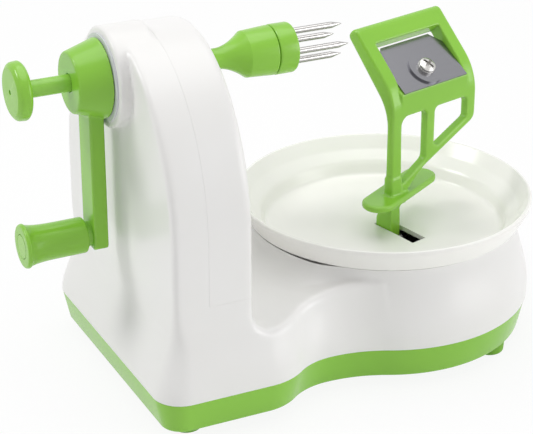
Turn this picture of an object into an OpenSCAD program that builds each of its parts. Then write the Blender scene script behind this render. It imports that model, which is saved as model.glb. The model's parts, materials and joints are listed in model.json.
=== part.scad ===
// Hand-cranked rotary apple peeler. Lengths are in millimetres.
// Each piece is drawn with the tray axis on X = Y = 0 and the underside of the base on Z = 0,
// then moved so that the origin lies under the middle of the whole object, on the surface it stands on.
// The crank shaft runs along X, with the crank on the -X side and the fork on the +X side.

/* [Base] */
// Distance from the tray axis to the crank end of the base
base_end = 143.1; // [135:0.1:155]
// How much narrower each side of the base is under the column than at the drum
side_step = 1.5; // [0:0.1:4]
// Height of the green base band
base_h = 15; // [12:0.5:22]
// How far the band draws in at its lower edge
base_inset = 3.4; // [1:0.2:6]
// Corner radius at the crank end
base_corner_r = 13; // [8:0.5:20]
// Wall and floor of the base
base_wall = 2.5; // [1.5:0.1:4]
// Where the straight side ends and the waist begins, from the tray axis
waist_start = 92; // [86:1:104]
// Narrowest place of the waist, from the tray axis
waist_x = 57.6; // [50:0.2:64]
// Half width at the narrowest place
waist_half_w = 56.7; // [50:0.1:62]
// Height of the feet
foot_h = 5.5; // [2:0.5:8]
// Radius of a foot
foot_r = 7.4; // [4:0.1:9]
// Height up to which the drum stays at its full radius
drum_full_z = 20; // [15:0.5:30]

/* [Drum and tray] */
// Radius of the drum at the base
drum_r = 70; // [66:0.5:80]
// Radius of the drum under the tray rim
drum_neck_r = 63.6; // [60:0.2:66]
// Height of the top edge of the drum
drum_top = 52; // [48:0.5:60]
// Inner radius of the drum mouth
drum_mouth_r = 61; // [58:0.2:62]
// How far the tray rim stands out past the foot of the drum
rim_out = 0; // [-2:0.1:3]
// Height of the tray rim
tray_rim_z = 64.4; // [60:0.2:76]
// Height of the tray floor at its centre
tray_floor_z = 49; // [47:0.2:54]
// Drop of the tray floor from its centre to its edge
tray_dome = 2.5; // [0.5:0.1:4]
// Wall of the tray
tray_wall = 2.2; // [1.4:0.1:3]
// Radial length of the slot for the peeling arm
slot_len = 26; // [24:0.5:30]
// Width of the slot
slot_w = 8.3; // [7.5:0.1:10]

/* [Column] */
// Distance from the tray axis to the crank face of the column
column_end = 135; // [132:0.2:138]
// Distance from the tray axis to the fork face of the column
column_fork = 98; // [96:0.2:99]
// Half width of the column
column_half_w = 62.5; // [58:0.5:66]
// Height at which the arch of the column springs
arch_z = 85; // [75:1:95]
// Height of the crown of the column
crown_z = 163; // [160:0.5:175]
// Wall of the body and the column
body_wall = 2.5; // [1.6:0.1:3.5]
// Distance from the tray axis to the parting line of the column
split_x = 119; // [112:0.2:122]
// Lower edge of the column cover
cover_z = 57; // [50:0.5:70]
// Height of the shoulder between the column and the drum
shoulder_z = 45; // [42:0.5:47]

/* [Crank] */
// Height of the crank shaft above the underside of the base
shaft_z = 143.3; // [138:0.1:148]
// Crank throw, from the shaft to the grip
crank_throw = 72; // [60:1:74]
// Width of the crank arm
crank_w = 14; // [10:0.2:16]
// Thickness of the crank arm
crank_t = 6.7; // [6:0.1:9]
// Distance of the crank arm from the column side of the hub
crank_set = 1.2; // [0:0.1:3]
// Length of the crank hub
hub_len = 14.1; // [12:0.1:18]
// Radius of the hub beside the column
hub_r = 17.7; // [16:0.1:21]
// Radius of the hub at its free end
hub_tip_r = 13.4; // [12:0.1:16]
// Length of the grip
grip_len = 28.7; // [24:0.1:31]
// Radius of the grip beside the crank arm
grip_r = 8.1; // [7:0.1:12]
// Radius of the flared end of the grip
grip_end_r = 10.1; // [9:0.1:14]
// Radius of the pin that carries the grip
grip_pin_r = 3; // [2:0.1:4]
// Radius of the crank shaft in its bush
shaft_r = 6.5; // [5.5:0.1:7.5]
// Radius of the shaft where it leaves the column
neck_r = 4.7; // [4:0.1:5.4]

/* [Ejector] */
// Travel of the push knob
eject_travel = 18; // [12:0.5:19]
// Free length of push rod between the hub and the knob
knob_gap = 19.6; // [19.5:0.1:26]
// Thickness of the push knob
knob_t = 6.5; // [4:0.1:10]
// Radius of the push knob
knob_r = 12.9; // [10:0.1:18]
// Radius of the push rod
push_rod_r = 3.8; // [3:0.1:4.2]
// Radius of the steel eject rod
eject_rod_r = 1.8; // [1.2:0.1:2.2]
// Wire diameter of the eject spring
spring_wire = 0.7; // [0.5:0.05:0.9]

/* [Fork] */
// Distance from the tray axis to the tips of the tines
tine_tip = 24.4; // [18:0.2:30]
// Length of tine that stands out of the ejector ring
tine_out = 26; // [18:0.5:32]
// Radius of a tine
tine_r = 1.5; // [1:0.1:2]
// Radius of the circle that the tines stand on
tine_circle_r = 7.06; // [5.5:0.02:8]
// Radius of the fork head
fork_r = 11.4; // [10.9:0.1:14]
// Radius of the fork head where its flare ends
fork_back_r = 10.5; // [9.8:0.1:10.8]
// Length of the ejector ring
ring_len = 9.5; // [6:0.1:14]
// Length of the straight part of the fork head
fork_len = 13.3; // [10:0.1:18]
// Length of the flare behind the fork head
flare_len = 13; // [8:0.1:16]

/* [Peeling arm] */
// Direction that the arm faces, turned from the -Y side towards the +X side
arm_yaw = 15; // [0:1:30]
// Side of the stem that the slot guides, from the middle of the tray
stem_side = 7.5; // [5:0.1:9]
// Thickness of the stem
stem_t = 6; // [4:0.2:7]
// Distance of the front of the arm from the tray axis
arm_front = 12.7; // [11.5:0.1:15]
// Thickness of the arm
arm_t = 4.5; // [3.5:0.1:5.5]
// Width of the arm and of its head
arm_w = 55; // [50:0.5:60]
// Width of the side bars and of the head's jambs
arm_bar = 5.7; // [4.5:0.1:7]
// Height of the sill below the blade
sill_z = 116; // [110:0.5:122]
// Lean of the head towards the apple
head_lean = 45.7; // [35:0.1:50]
// Length of the head above the sill
head_len = 38; // [34:0.1:42]
// Depth of the head
head_t = 7; // [5:0.1:9]
// Height of the window in the head
window_len = 27.7; // [24:0.1:30]
// Slope of the blade below the horizontal
blade_slope = 34.5; // [30:0.1:37]
// Length of the blade from its edge to the sill
blade_len = 26.6; // [24:0.1:27.5]
// Thickness of the blade
blade_t = 0.8; // [0.5:0.1:1.2]
// Radius of the washer under the blade screw
washer_r = 8.8; // [6:0.1:9.4]
// Radius of the blade screw
blade_screw_r = 2; // [1.5:0.1:2.5]
// Distance of the hinge from the tray axis
hinge_r = 8.5; // [7:0.1:10]
// Height of the hinge
hinge_z = 40; // [38:0.2:41]
// Radius of the hinge pin
hinge_pin_r = 1.5; // [1.2:0.1:2]

/* [Gears] */
// Module of the spur gears
gear_m = 1.5; // [1.4:0.02:1.5]
// Module of the crown wheel pair
crown_m = 1.1; // [1:0.02:1.1]
// Tooth thickness taken off for play
backlash = 0.5; // [0.4:0.05:0.7]
// Teeth of the pinion on the crank shaft
shaft_teeth = 16; // [16:1:17]
// Teeth of the crown wheel
crown_teeth = 20; // [20:1:21]
// Teeth of the layshaft pinion and of the small compound gear
pinion_teeth = 12; // [12:1:13]
// Teeth of the large compound gear
compound_teeth = 52; // [51:1:52]
// Teeth of the turntable gear
turntable_teeth = 80; // [80:1:81]
// Face width of the gears
gear_w = 5; // [4:0.5:5.5]
// Radius of the layshaft
layshaft_r = 3; // [2.5:0.1:3.5]
// Radius of the pin that carries the compound gear
axle_r = 2.5; // [2:0.1:3]
// Radius of the post that carries the turntable
post_r = 7; // [6:0.1:8]

/* [Fits] */
// Radial play of a shaft in its bore
shaft_play = 0.05; // [0.02:0.01:0.1]
// Gap between faces that move past each other
run_gap = 0.3; // [0.2:0.05:0.6]

/* [Hidden] */
$fn = 64;
lime = [0.55, 0.77, 0.29];
white = [0.92, 0.92, 0.91];
ivory = [0.9, 0.87, 0.81];
grey = [0.72, 0.73, 0.74];
steel = [0.75, 0.76, 0.78];

// Widths that follow the drum
base_half_w = drum_r - side_step;
tray_r = drum_r + rim_out;

// Places along the crank shaft, as distances from the tray axis
boss_len = 4.2;
bush_flange_t = 1.7;
boss_end = column_end + boss_len;
hub_back = boss_end + bush_flange_t + run_gap;
hub_face = hub_back + hub_len;
knob_back = hub_face + knob_gap;
knob_end = knob_back + knob_t;
crank_face = hub_back + crank_set + crank_t;
ring_face = tine_tip + tine_out;
ring_back = ring_face + ring_len;
fork_face = ring_back + run_gap;
fork_back = column_fork - 1;
socket_len = 9;
spigot_r = neck_r - 1.1;
shaft_step = column_fork + 4.3;

// The origin lies midway between the push knob and the far side of the tray
tray_x = (knob_end - max(drum_r, tray_r)) / 2;

// Gear train
pitch_shaft = shaft_teeth * crown_m / 2;
pitch_crown = crown_teeth * crown_m / 2;
pitch_pinion = pinion_teeth * gear_m / 2;
pitch_compound = compound_teeth * gear_m / 2;
pitch_turntable = turntable_teeth * gear_m / 2;
reach_in = pitch_pinion + pitch_compound;
reach_out = pitch_pinion + pitch_turntable;
compound_x = reach_out;
layshaft_x = reach_in + reach_out;
floor_rise = 0.5;
floor_top = floor_rise + base_wall;
low_z = floor_top + 2;
high_z = low_z + gear_w + 2;
gear_top = high_z + gear_w + 1;
crown_addendum = 0.5 * crown_m;
crown_face_z = shaft_z - pitch_shaft - 1.3 * crown_m;
crown_disc_t = 3.6;
crown_w = 3.6;
crown_play = 0.35;

// Peeling arm: s runs across the arm, r away from the tray axis
head_in = [-sin(head_lean), cos(head_lean)];
blade_in = [-cos(blade_slope), sin(blade_slope)];
blade_up = [sin(blade_slope), cos(blade_slope)];
arm_mid = arm_w / 2 - stem_side;

function inv(a) = tan(a) * 180 / PI - a;
function smooth(t) = t <= 0 ? 0 : t >= 1 ? 1 : t * t * (3 - 2 * t);
function arc(c, r, a0, a1, n) =
    [for (i = [0:n]) let (a = a0 + (a1 - a0) * i / n) c + r * [cos(a), sin(a)]];
function at_z(pts, z) = [for (p = pts) [p[0], p[1], z]];
function at_x(pts, x) = [for (p = pts) [x, p[0], p[1]]];

// Plan outline from arcs that meet smoothly, drawn in by d along the sides, by a further e at the crank end
// and by g round the drum
waist_drop = base_half_w - waist_half_w;
waist_span = waist_start - waist_x;
bend_r = (waist_span * waist_span + waist_drop * waist_drop) / (4 * waist_drop);
bend = asin(waist_span / (2 * bend_r));
neck_arc_r = (waist_x * waist_x + waist_half_w * waist_half_w - drum_r * drum_r)
    / (2 * (drum_r - waist_half_w));
turn = atan2(waist_half_w + neck_arc_r, waist_x);
function drum_arc(d, g) =
    [for (i = [1:20]) let (a = 180 + turn + (180 - turn) * i / 20)
        (drum_r - d + (d - g) * min(1, i / 4)) * [cos(a), sin(a)]];
function half_outline(d, e, g) =
    concat(arc([base_corner_r - base_end + e, base_corner_r - base_half_w], base_corner_r - d, 180, 270, 4),
           arc([-waist_start, -(base_half_w - bend_r)], bend_r - d, 270, 270 + bend, 4),
           arc([-waist_x, -(waist_half_w + bend_r)], bend_r + d, 90 + bend * 3 / 4, 90, 3),
           arc([-waist_x, -(waist_half_w + neck_arc_r)], neck_arc_r + d, 90 - (90 - turn) / 4, turn, 3),
           drum_arc(d, g));
function outline(d, e = 0, g = undef) =
    let (half = half_outline(d, e, is_undef(g) ? d : g), n = len(half))
    concat(half, [for (i = [n - 2:-1:0]) [half[i][0], -half[i][1]]]);

// Plan outline of the body at a height, drawn in by a wall
side_draw = base_half_w - column_half_w + 0.1;
end_draw = base_end - column_end + 0.1;
drum_draw = drum_r - drum_neck_r + 0.1;
function drum_in(z) = drum_draw * smooth((z - drum_full_z) / (drum_top - drum_full_z));
function body_outline(z, d) =
    let (t = smooth((z - base_h) / (shoulder_z - base_h)))
    outline(side_draw * t + d, (end_draw - side_draw) * t, drum_in(z) + d);

// Arch of the column, drawn in by d
function arch(d, foot) =
    concat([[column_half_w - d, foot]],
           [for (i = [0:28]) let (a = i * 180 / 28)
               [(column_half_w - d) * cos(a), arch_z + (crown_z - arch_z - d) * sin(a)]],
           [[-(column_half_w - d), foot]]);

module part_frame() { translate([tray_x, 0, foot_h]) children(); }
module on_shaft(x) { translate([-x, 0, shaft_z]) rotate([0, 90, 0]) children(); }
module arm_frame() { rotate([0, 0, arm_yaw]) children(); }
// Profile drawn in r and z, extruded across the arm from s0 to s1
module arm_slice(s0, s1) {
    arm_frame() translate([s0, 0, 0]) rotate([90, 0, 90])
        linear_extrude(height = s1 - s0) mirror([1, 0]) children();
}
// Outline drawn in s and z, extruded away from the tray axis from r0 to r1
module arm_plate(r0, r1) {
    arm_frame() translate([0, -r0, 0]) rotate([90, 0, 0]) linear_extrude(height = r1 - r0) children();
}
// Cylinder across the arm, about the hinge
module on_hinge(s0, s1, r) {
    arm_frame() translate([s0, -hinge_r, hinge_z]) rotate([0, 90, 0]) cylinder(r = r, h = s1 - s0);
}

// Closed solid through rings of points, listed counter-clockwise seen from its far end
module loft(rings) {
    n = len(rings[0]);
    m = len(rings);
    faces = concat([[for (i = [0:n - 1]) i]],
                   [for (k = [0:m - 2], i = [0:n - 1])
                       [k * n + i, (k + 1) * n + i, (k + 1) * n + (i + 1) % n]],
                   [for (k = [0:m - 2], i = [0:n - 1])
                       [k * n + i, (k + 1) * n + (i + 1) % n, k * n + (i + 1) % n]],
                   [[for (i = [n - 1:-1:0]) (m - 1) * n + i]]);
    polyhedron(points = [for (r = rings) each r], faces = faces, convexity = 8);
}

// Loft cut flat at two heights
module band(rings, z0, z1) {
    intersection() {
        loft(rings);
        translate([-300, -200, z0]) cube([600, 400, z1 - z0]);
    }
}

// Tube of round wire along a path
module wire(path, d, sides, across) {
    n = len(path);
    loft([for (i = [0:n - 1])
        let (t = path[min(i + 1, n - 1)] - path[max(i - 1, 0)], f = t / norm(t))
        let (g = cross(across, f), u = g / norm(g), v = cross(f, u))
        [for (k = [0:sides - 1]) path[i] + d / 2 * (cos(k * 360 / sides) * u + sin(k * 360 / sides) * v)]]);
}

// Spur gear outline with a tooth along +X
function tooth_half(n, m, r) =
    let (rp = n * m / 2, rb = rp * cos(20))
    90 / n + inv(20) - inv(r > rb ? acos(rb / r) : 0) - backlash * 90 / (PI * rp);
module gear_2d(n, m) {
    rp = n * m / 2;
    radii = [rp - 1.3 * m, rp - 0.45 * m, rp + 0.1 * m, rp + 0.75 * m];
    half = [for (r = radii) tooth_half(n, m, r)];
    polygon([for (i = [0:n - 1]) each concat(
        [for (k = [0:3]) let (a = i * 360 / n - half[k]) radii[k] * [cos(a), sin(a)]],
        [for (k = [3:-1:0]) let (a = i * 360 / n + half[k]) radii[k] * [cos(a), sin(a)]])]);
}

// Self-tapping screw with a pan head and a cross slot, pointing up from z = 0 at the seat of its head
module screw(r, len, head_r, head_h) {
    difference() {
        translate([0, 0, -head_h]) cylinder(r = head_r, h = head_h);
        for (a = [0, 90]) rotate(a) translate([-head_r * 0.6, -0.45, -head_h - 1])
            cube([head_r * 1.2, 0.9, 1 + head_h * 0.55]);
    }
    cylinder(r = r, h = len - r);
    translate([0, 0, len - r]) cylinder(r1 = r, r2 = 0.2, h = r);
}

foot_places = [[-base_end + 17, -base_half_w + 17], [-base_end + 17, base_half_w - 17],
               [31, -50], [31, 50]];
foot_socket_r = 3;
screw_places = [[-108, -base_half_w + 12.5], [-108, base_half_w - 12.5],
                [-50, -waist_half_w + 10.7], [-50, waist_half_w - 10.7]];
screw_boss_r = 4;
body_boss_h = 11;
tap_r = 1.4;
head_r = 3.1;
head_h = 2;

module base_tray() {
    color(lime) part_frame() {
        difference() {
            band([at_z(outline(base_inset * (1 + 2 / base_h)), -2),
                  at_z(outline(-base_inset * 2 / base_h), base_h + 2)], 0, base_h);
            translate([0, 0, -1]) linear_extrude(height = base_h + 2)
                polygon(outline(base_inset + base_wall));
        }
        translate([0, 0, floor_rise]) linear_extrude(height = base_wall) difference() {
            polygon(outline(base_inset + 1.2));
            for (p = foot_places) translate(p) circle(r = foot_socket_r);
            for (p = screw_places) translate(p) circle(r = head_r + run_gap);
            translate([-compound_x, 0]) circle(r = axle_r);
        }
        for (p = screw_places) translate([p[0], p[1], 0]) difference() {
            translate([0, 0, 1.5]) cylinder(r = screw_boss_r + 0.5, h = base_h - 1.5);
            translate([0, 0, -1]) cylinder(r = head_r + run_gap, h = 1 + head_h + 1);
            cylinder(r = tap_r + 0.2, h = base_h + 1);
        }
        translate([-layshaft_x, 0, floor_top - 0.5]) difference() {
            cylinder(r = layshaft_r + 3, h = low_z - run_gap - floor_top + 0.5);
            translate([0, 0, 0.5]) cylinder(r = layshaft_r + shaft_play, h = low_z);
        }
        translate([-compound_x, 0, 1]) difference() {
            cylinder(r = axle_r + 3, h = low_z - run_gap - 1);
            translate([0, 0, -2]) cylinder(r = axle_r, h = low_z + 3);
        }
        translate([0, 0, floor_top - 0.5]) difference() {
            union() {
                cylinder(r = post_r + 4, h = high_z - run_gap - floor_top + 0.5);
                cylinder(r = post_r, h = post_top - floor_top + 0.5);
            }
            translate([0, 0, post_top - floor_top - 13]) cylinder(r = 2, h = 14);
        }
    }
}

module rubber_feet() {
    color(lime) part_frame() for (p = foot_places) translate([p[0], p[1], -foot_h]) {
        cylinder(r1 = foot_r - 1.2, r2 = foot_r, h = 1.5);
        translate([0, 0, 1.5]) cylinder(r = foot_r, h = foot_h - 1.5);
        cylinder(r = foot_socket_r + 1.6, h = foot_h + floor_rise);
        cylinder(r = foot_socket_r, h = foot_h + floor_top);
    }
}

module base_screws() {
    color(steel) part_frame() for (p = screw_places) translate([p[0], p[1], head_h + 1])
        screw(tap_r, base_h + 5, head_r, head_h);
}

// Outside and inside of the column, full length
module column_outside() {
    edge = 1.2;
    round_r = 3;
    foot = shoulder_z - 14;
    loft(concat([at_x(arch(edge, foot), -column_end), at_x(arch(0, foot), -column_end + edge)],
                [for (a = [90:-30:0])
                    at_x(arch(round_r * (1 - sin(a)), foot), -column_fork - round_r * (1 - cos(a)))]));
}
module column_inside() {
    loft([at_x(arch(body_wall + 0.7, shoulder_z - 9), -column_end + body_wall + 0.6),
          at_x(arch(body_wall + 0.7, shoulder_z - 9), -column_fork - body_wall)]);
}
// Room that the column cover takes
module cover_zone(gap) {
    translate([-split_x - gap, -base_half_w, cover_z - gap]) cube([split_x, 2 * base_half_w, crown_z]);
}

module body_shell() {
    ceiling = shoulder_z - body_wall;
    rise = shoulder_z - base_h;
    levels = concat([base_h - 2], [for (k = [0:5]) base_h + rise * k / 5], [shoulder_z + 2]);
    inner_levels = concat([base_h - 3], [for (k = [0:3]) base_h + rise * k / 3]);
    neck_start = shoulder_z - 1;
    color(white) part_frame() {
        difference() {
            union() {
                band([for (z = levels) at_z(body_outline(z, 0), z)], base_h, shoulder_z);
                translate([0, 0, neck_start]) cylinder(r1 = drum_r - drum_in(neck_start) - 0.4,
                    r2 = drum_neck_r - 0.3, h = drum_top - neck_start);
                difference() {
                    column_outside();
                    cover_zone(0);
                }
                on_shaft(boss_end) cylinder(r = hub_r + 4.6, h = boss_len + 1);
            }
            band([for (z = inner_levels) at_z(body_outline(z, body_wall), z)], base_h - 1, ceiling);
            translate([0, 0, ceiling - 1]) cylinder(r = drum_mouth_r, h = drum_top);
            column_inside();
            on_shaft(boss_end + 1) cylinder(r = bush_r, h = 20);
        }
        for (p = screw_places) translate([p[0], p[1], base_h]) {
            difference() {
                cylinder(r = screw_boss_r, h = body_boss_h);
                translate([0, 0, -1]) cylinder(r = tap_r, h = body_boss_h);
            }
            mirror([0, p[1] < 0 ? 1 : 0, 0]) translate([-1, screw_boss_r - 1, 0])
                cube([2, 7.6, body_boss_h / 2]);
        }
        for (y = [-1, 1]) translate([-column_end + body_wall, y * bracket_screw_y, bracket_screw_z])
            rotate([0, 90, 0]) difference() {
                translate([0, 0, -0.5]) cylinder(r = screw_boss_r, h = bracket_x - body_wall + 0.5);
                translate([0, 0, 0.5]) cylinder(r = tap_r, h = bracket_x);
            }
    }
}

module column_cover() {
    color(white) part_frame() {
        difference() {
            intersection() {
                column_outside();
                cover_zone(0);
            }
            column_inside();
            on_shaft(column_fork + 10) cylinder(r = fork_bush_r, h = 20);
        }
        for (y = [-1, 1], z = [cover_z + 12, arch_z])
            translate([0, y * (column_half_w - body_wall - 0.7), z]) mirror([0, y > 0 ? 1 : 0, 0]) {
                translate([-split_x, -0.2, -4]) cube([6, 2.7, 8]);
                translate([-split_x - 5, run_gap, -4]) cube([6, 2.2, 8]);
            }
    }
}

bush_r = shaft_r + 3.5;
bush_len = boss_len + body_wall + 0.5;
fork_bush_r = neck_r + 2.3;

module crank_bush() {
    color(grey) part_frame() difference() {
        union() {
            on_shaft(boss_end + bush_flange_t) cylinder(r = hub_r + 1.7, h = bush_flange_t);
            on_shaft(boss_end + 0.1) cylinder(r = bush_r, h = bush_len);
        }
        on_shaft(hub_face) cylinder(r = shaft_r + shaft_play, h = 40);
    }
}

module fork_bush() {
    color(grey) part_frame() difference() {
        union() {
            on_shaft(shaft_step - run_gap)
                cylinder(r = fork_bush_r + 2, h = shaft_step - run_gap - column_fork - body_wall);
            on_shaft(column_fork + body_wall + 0.1) cylinder(r = fork_bush_r, h = body_wall + 0.6);
        }
        on_shaft(shaft_step + 1) cylinder(r = neck_r + shaft_play, h = 10);
    }
}

bracket_x = 8;
bracket_t = 2.5;
bracket_screw_y = 20;
bracket_screw_z = 106;
bracket_top = crown_face_z - crown_disc_t - 6;

module gear_bracket() {
    wall_x = -column_end + bracket_x;
    color(grey) part_frame() difference() {
        union() {
            translate([wall_x, -27, bracket_screw_z - 8])
                cube([bracket_t, 54, bracket_top - bracket_screw_z + 8]);
            translate([wall_x, -14, bracket_top - 3]) cube([-layshaft_x + 9 - wall_x, 28, 3]);
            translate([-layshaft_x, 0, bracket_top - 8]) cylinder(r = layshaft_r + 3, h = 8);
        }
        translate([-layshaft_x, 0, bracket_top - 10]) cylinder(r = layshaft_r + shaft_play, h = 12);
        for (y = [-1, 1]) translate([wall_x - 1, y * bracket_screw_y, bracket_screw_z])
            rotate([0, 90, 0]) cylinder(r = tap_r + 0.2, h = bracket_t + 2);
    }
}

module bracket_screws() {
    color(steel) part_frame() for (y = [-1, 1])
        translate([-column_end + bracket_x + bracket_t, y * bracket_screw_y, bracket_screw_z])
            rotate([0, -90, 0]) screw(tap_r, bracket_t + bracket_x - body_wall - 1, head_r, head_h);
}

module compound_axle() {
    color(steel) part_frame() translate([-compound_x, 0, 0.5]) cylinder(r = axle_r, h = gear_top + 1.5);
}

module axle_clip() {
    color(steel) part_frame() translate([-compound_x, 0, gear_top + run_gap]) difference() {
        cylinder(r = axle_r + 2, h = 0.8);
        translate([0, 0, -1]) cylinder(r = axle_r, h = 3);
    }
}

hub_top = high_z + gear_w + 6;
post_top = hub_top + run_gap;

module pivot_washer() {
    color(steel) part_frame() translate([0, 0, post_top]) difference() {
        cylinder(r = post_r + 3, h = 1.2);
        translate([0, 0, -1]) cylinder(r = 2.2, h = 4);
    }
}

module pivot_screw() {
    color(steel) part_frame() translate([0, 0, post_top + 1.2]) mirror([0, 0, 1]) screw(2, 12, 4, 2.4);
}

crank_tail = 5.9;

module crank_arm() {
    color(lime) part_frame() difference() {
        union() {
            on_shaft(hub_face) cylinder(r1 = hub_tip_r, r2 = hub_r, h = hub_len);
            translate([-crank_face, -crank_w / 2, shaft_z - crank_throw])
                cube([crank_t, crank_w, crank_throw]);
            on_grip(crank_face) linear_extrude(height = crank_t) difference() {
                translate([0, -crank_w / 2]) square([crank_tail, crank_w]);
                for (y = [-1, 1]) translate([crank_tail, y * crank_w / 2])
                    rotate(y > 0 ? 180 : 90) difference() {
                        translate([-0.1, -0.1]) square(1.6);
                        translate([1.5, 1.5]) circle(r = 1.5);
                    }
            }
        }
        on_shaft(hub_face - 3.3) cylinder(r = shaft_r, h = hub_len);
        on_shaft(hub_face + 1) cylinder(r = push_rod_r + 0.3, h = 10);
        on_grip(crank_face + 1) cylinder(r = grip_pin_r, h = 6);
    }
}

module drive_shaft() {
    end = hub_face - 3.3;
    color(lime) part_frame() difference() {
        union() {
            on_shaft(end) cylinder(r = shaft_r, h = end - shaft_step);
            on_shaft(shaft_step + 0.5) cylinder(r = neck_r, h = shaft_step + 0.5 - fork_back);
            on_shaft(fork_back + 0.5) cylinder(r = spigot_r, h = socket_len + 0.5);
        }
        on_shaft(end + 1) cylinder(r = push_rod_r + 0.25, h = end + 1 - spring_stop);
        on_shaft(end) cylinder(r = eject_rod_r + 0.1, h = end);
    }
}
spring_start = hub_face - 9.5;
spring_stop = layshaft_x - 7;

module shaft_pinion() {
    color(white) part_frame() on_shaft(layshaft_x - pitch_crown + crown_w / 2) difference() {
        linear_extrude(height = crown_w) gear_2d(shaft_teeth, crown_m);
        translate([0, 0, -1]) cylinder(r = shaft_r, h = crown_w + 2);
    }
}

module fork_head() {
    end_r = fork_r - 0.1;
    head_len = fork_back - fork_face;
    flare_start = head_len - fork_len - flare_len;
    flare = [for (k = [0:8]) let (t = k / 8)
        [neck_r + (fork_back_r - neck_r) * pow(t, 1.8), flare_start + flare_len * t]];
    color(lime) part_frame() on_shaft(fork_back) difference() {
        rotate_extrude() polygon(concat([[0, 0], [neck_r, 0]], flare,
            [[end_r, head_len - 0.4], [end_r - 0.4, head_len], [0, head_len]]));
        translate([0, 0, -1]) cylinder(r = spigot_r, h = socket_len + 1);
        cylinder(r = eject_rod_r + 0.1, h = head_len + 1);
        for (a = [0:90:270]) rotate(a) translate([tine_circle_r, 0, head_len - tine_seat])
            cylinder(r = tine_r, h = tine_seat + 1);
    }
}

module fork_tines() {
    tip = 5;
    start = fork_face + tine_seat;
    straight = start - tine_tip - tip;
    color(steel) part_frame() on_shaft(start) for (a = [0:90:270]) rotate(a) translate([tine_circle_r, 0, 0]) {
        cylinder(r = tine_r, h = straight);
        translate([0, 0, straight]) cylinder(r1 = tine_r, r2 = 0.15, h = tip);
    }
}
tine_seat = 10;

grip_gap = 2.5;
pin_head_r = 5.3;
pin_head_t = 1.8;
grip_tip = crank_face + grip_gap + grip_len;

module on_grip(x) { translate([-x, 0, shaft_z - crank_throw]) rotate([0, 90, 0]) children(); }

module grip_pin() {
    color(lime) part_frame() {
        on_grip(grip_tip) cylinder(r = pin_head_r, h = pin_head_t);
        on_grip(grip_tip - pin_head_t + 0.1)
            cylinder(r = grip_pin_r, h = grip_len + grip_gap + 5 - pin_head_t + 0.1);
        on_grip(crank_face + grip_gap - run_gap) cylinder(r = grip_r - 2.5, h = grip_gap - run_gap);
    }
}

module crank_grip() {
    side = [for (k = [1:9]) let (t = k / 10) [grip_r + (grip_end_r - grip_r) * pow(t, 7), grip_len * t]];
    round_r = 0.8;
    color(lime) part_frame() on_grip(grip_tip) translate([0, 0, grip_len]) mirror([0, 0, 1]) difference() {
        rotate_extrude() polygon(concat([[0, 0], [grip_r - round_r, 0]], side,
            [[grip_end_r, grip_len - 2 * round_r], [grip_end_r, grip_len - round_r],
             [grip_end_r - round_r, grip_len], [0, grip_len]]));
        translate([0, 0, -1]) cylinder(r = grip_pin_r + shaft_play, h = grip_len + 2);
        translate([0, 0, grip_len - pin_head_t - run_gap]) cylinder(r = pin_head_r + run_gap, h = 10);
    }
}

module push_knob() {
    round_r = 1.5;
    color(lime) part_frame() on_shaft(knob_end) difference() {
        rotate_extrude() polygon([[0, 0], [knob_r - 2 * round_r, 0], [knob_r - round_r, 0.5],
            [knob_r - 0.4, 1.6], [knob_r, 2.8], [knob_r - 0.2, knob_t - 0.8],
            [knob_r - 1, knob_t], [0, knob_t]]);
        translate([0, 0, -1]) cylinder(r = 1.1, h = 2.2);
        translate([0, 0, knob_t - 3]) cylinder(r = push_rod_r, h = 4);
    }
}

module push_rod() {
    start = knob_back + 3;
    color(lime) part_frame() on_shaft(start) difference() {
        cylinder(r = push_rod_r, h = start - spring_start - 0.1);
        translate([0, 0, start - spring_start - 8]) cylinder(r = eject_rod_r, h = 9);
    }
}

module eject_rod() {
    start = spring_start + 8;
    color(steel) part_frame() on_shaft(start) cylinder(r = eject_rod_r, h = start - ring_face - 4);
}

module eject_ring() {
    color(lime) part_frame() on_shaft(ring_back) difference() {
        rotate_extrude() polygon([[0, 0], [fork_r - 0.5, 0], [fork_r, 0.5], [fork_r, ring_len - 1.2],
            [fork_r - 1.2, ring_len], [0, ring_len]]);
        translate([0, 0, -1]) cylinder(r = eject_rod_r, h = ring_len - 3);
        for (a = [0:90:270]) rotate(a) translate([tine_circle_r, 0, -1])
            cylinder(r = tine_r + run_gap, h = ring_len + 2);
    }
}

// Compression spring between the push rod and the step inside the shaft
module eject_spring() {
    turns = 11;
    r = push_rod_r - spring_wire / 2 - 0.15;
    len = spring_start - spring_stop - spring_wire - 0.2;
    steps = turns * 10;
    path = [for (i = [0:steps]) let (a = i * 36)
        [r * cos(a), r * sin(a), spring_wire / 2 + 0.1 + len * i / steps]];
    echo(eject_spring_gap = len / turns - spring_wire);
    color(steel) part_frame() on_shaft(spring_start) wire(path, spring_wire, 6, [0, 0, 1]);
}

module layshaft() {
    color(steel) part_frame() translate([-layshaft_x, 0, floor_top])
        cylinder(r = layshaft_r, h = crown_face_z - 0.5 - floor_top);
}

module crown_wheel() {
    half = 90 / crown_teeth - (backlash + crown_play) * 90 / (PI * pitch_crown);
    inner = pitch_crown - crown_w / 2;
    outer = pitch_crown + crown_w / 2;
    reach = outer - 0.2;
    low_flank = [cos(half), -sin(half)];
    high_flank = [cos(half), sin(half)];
    tooth_h = 1.3 * crown_m + crown_addendum;
    color(white) part_frame() translate([-layshaft_x, 0, crown_face_z - crown_disc_t]) difference() {
        union() {
            cylinder(r = outer, h = crown_disc_t);
            translate([0, 0, bracket_top + run_gap - crown_face_z + crown_disc_t])
                cylinder(r = layshaft_r + 3, h = 6);
            for (i = [0:crown_teeth - 1]) rotate((i + 0.5) * 360 / crown_teeth)
                translate([0, 0, crown_disc_t - 0.5]) linear_extrude(height = tooth_h + 0.5)
                    polygon([inner * low_flank, reach * low_flank, reach * high_flank, inner * high_flank]);
        }
        translate([0, 0, -20]) cylinder(r = layshaft_r, h = 20 + crown_disc_t - 0.5);
    }
}

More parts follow.
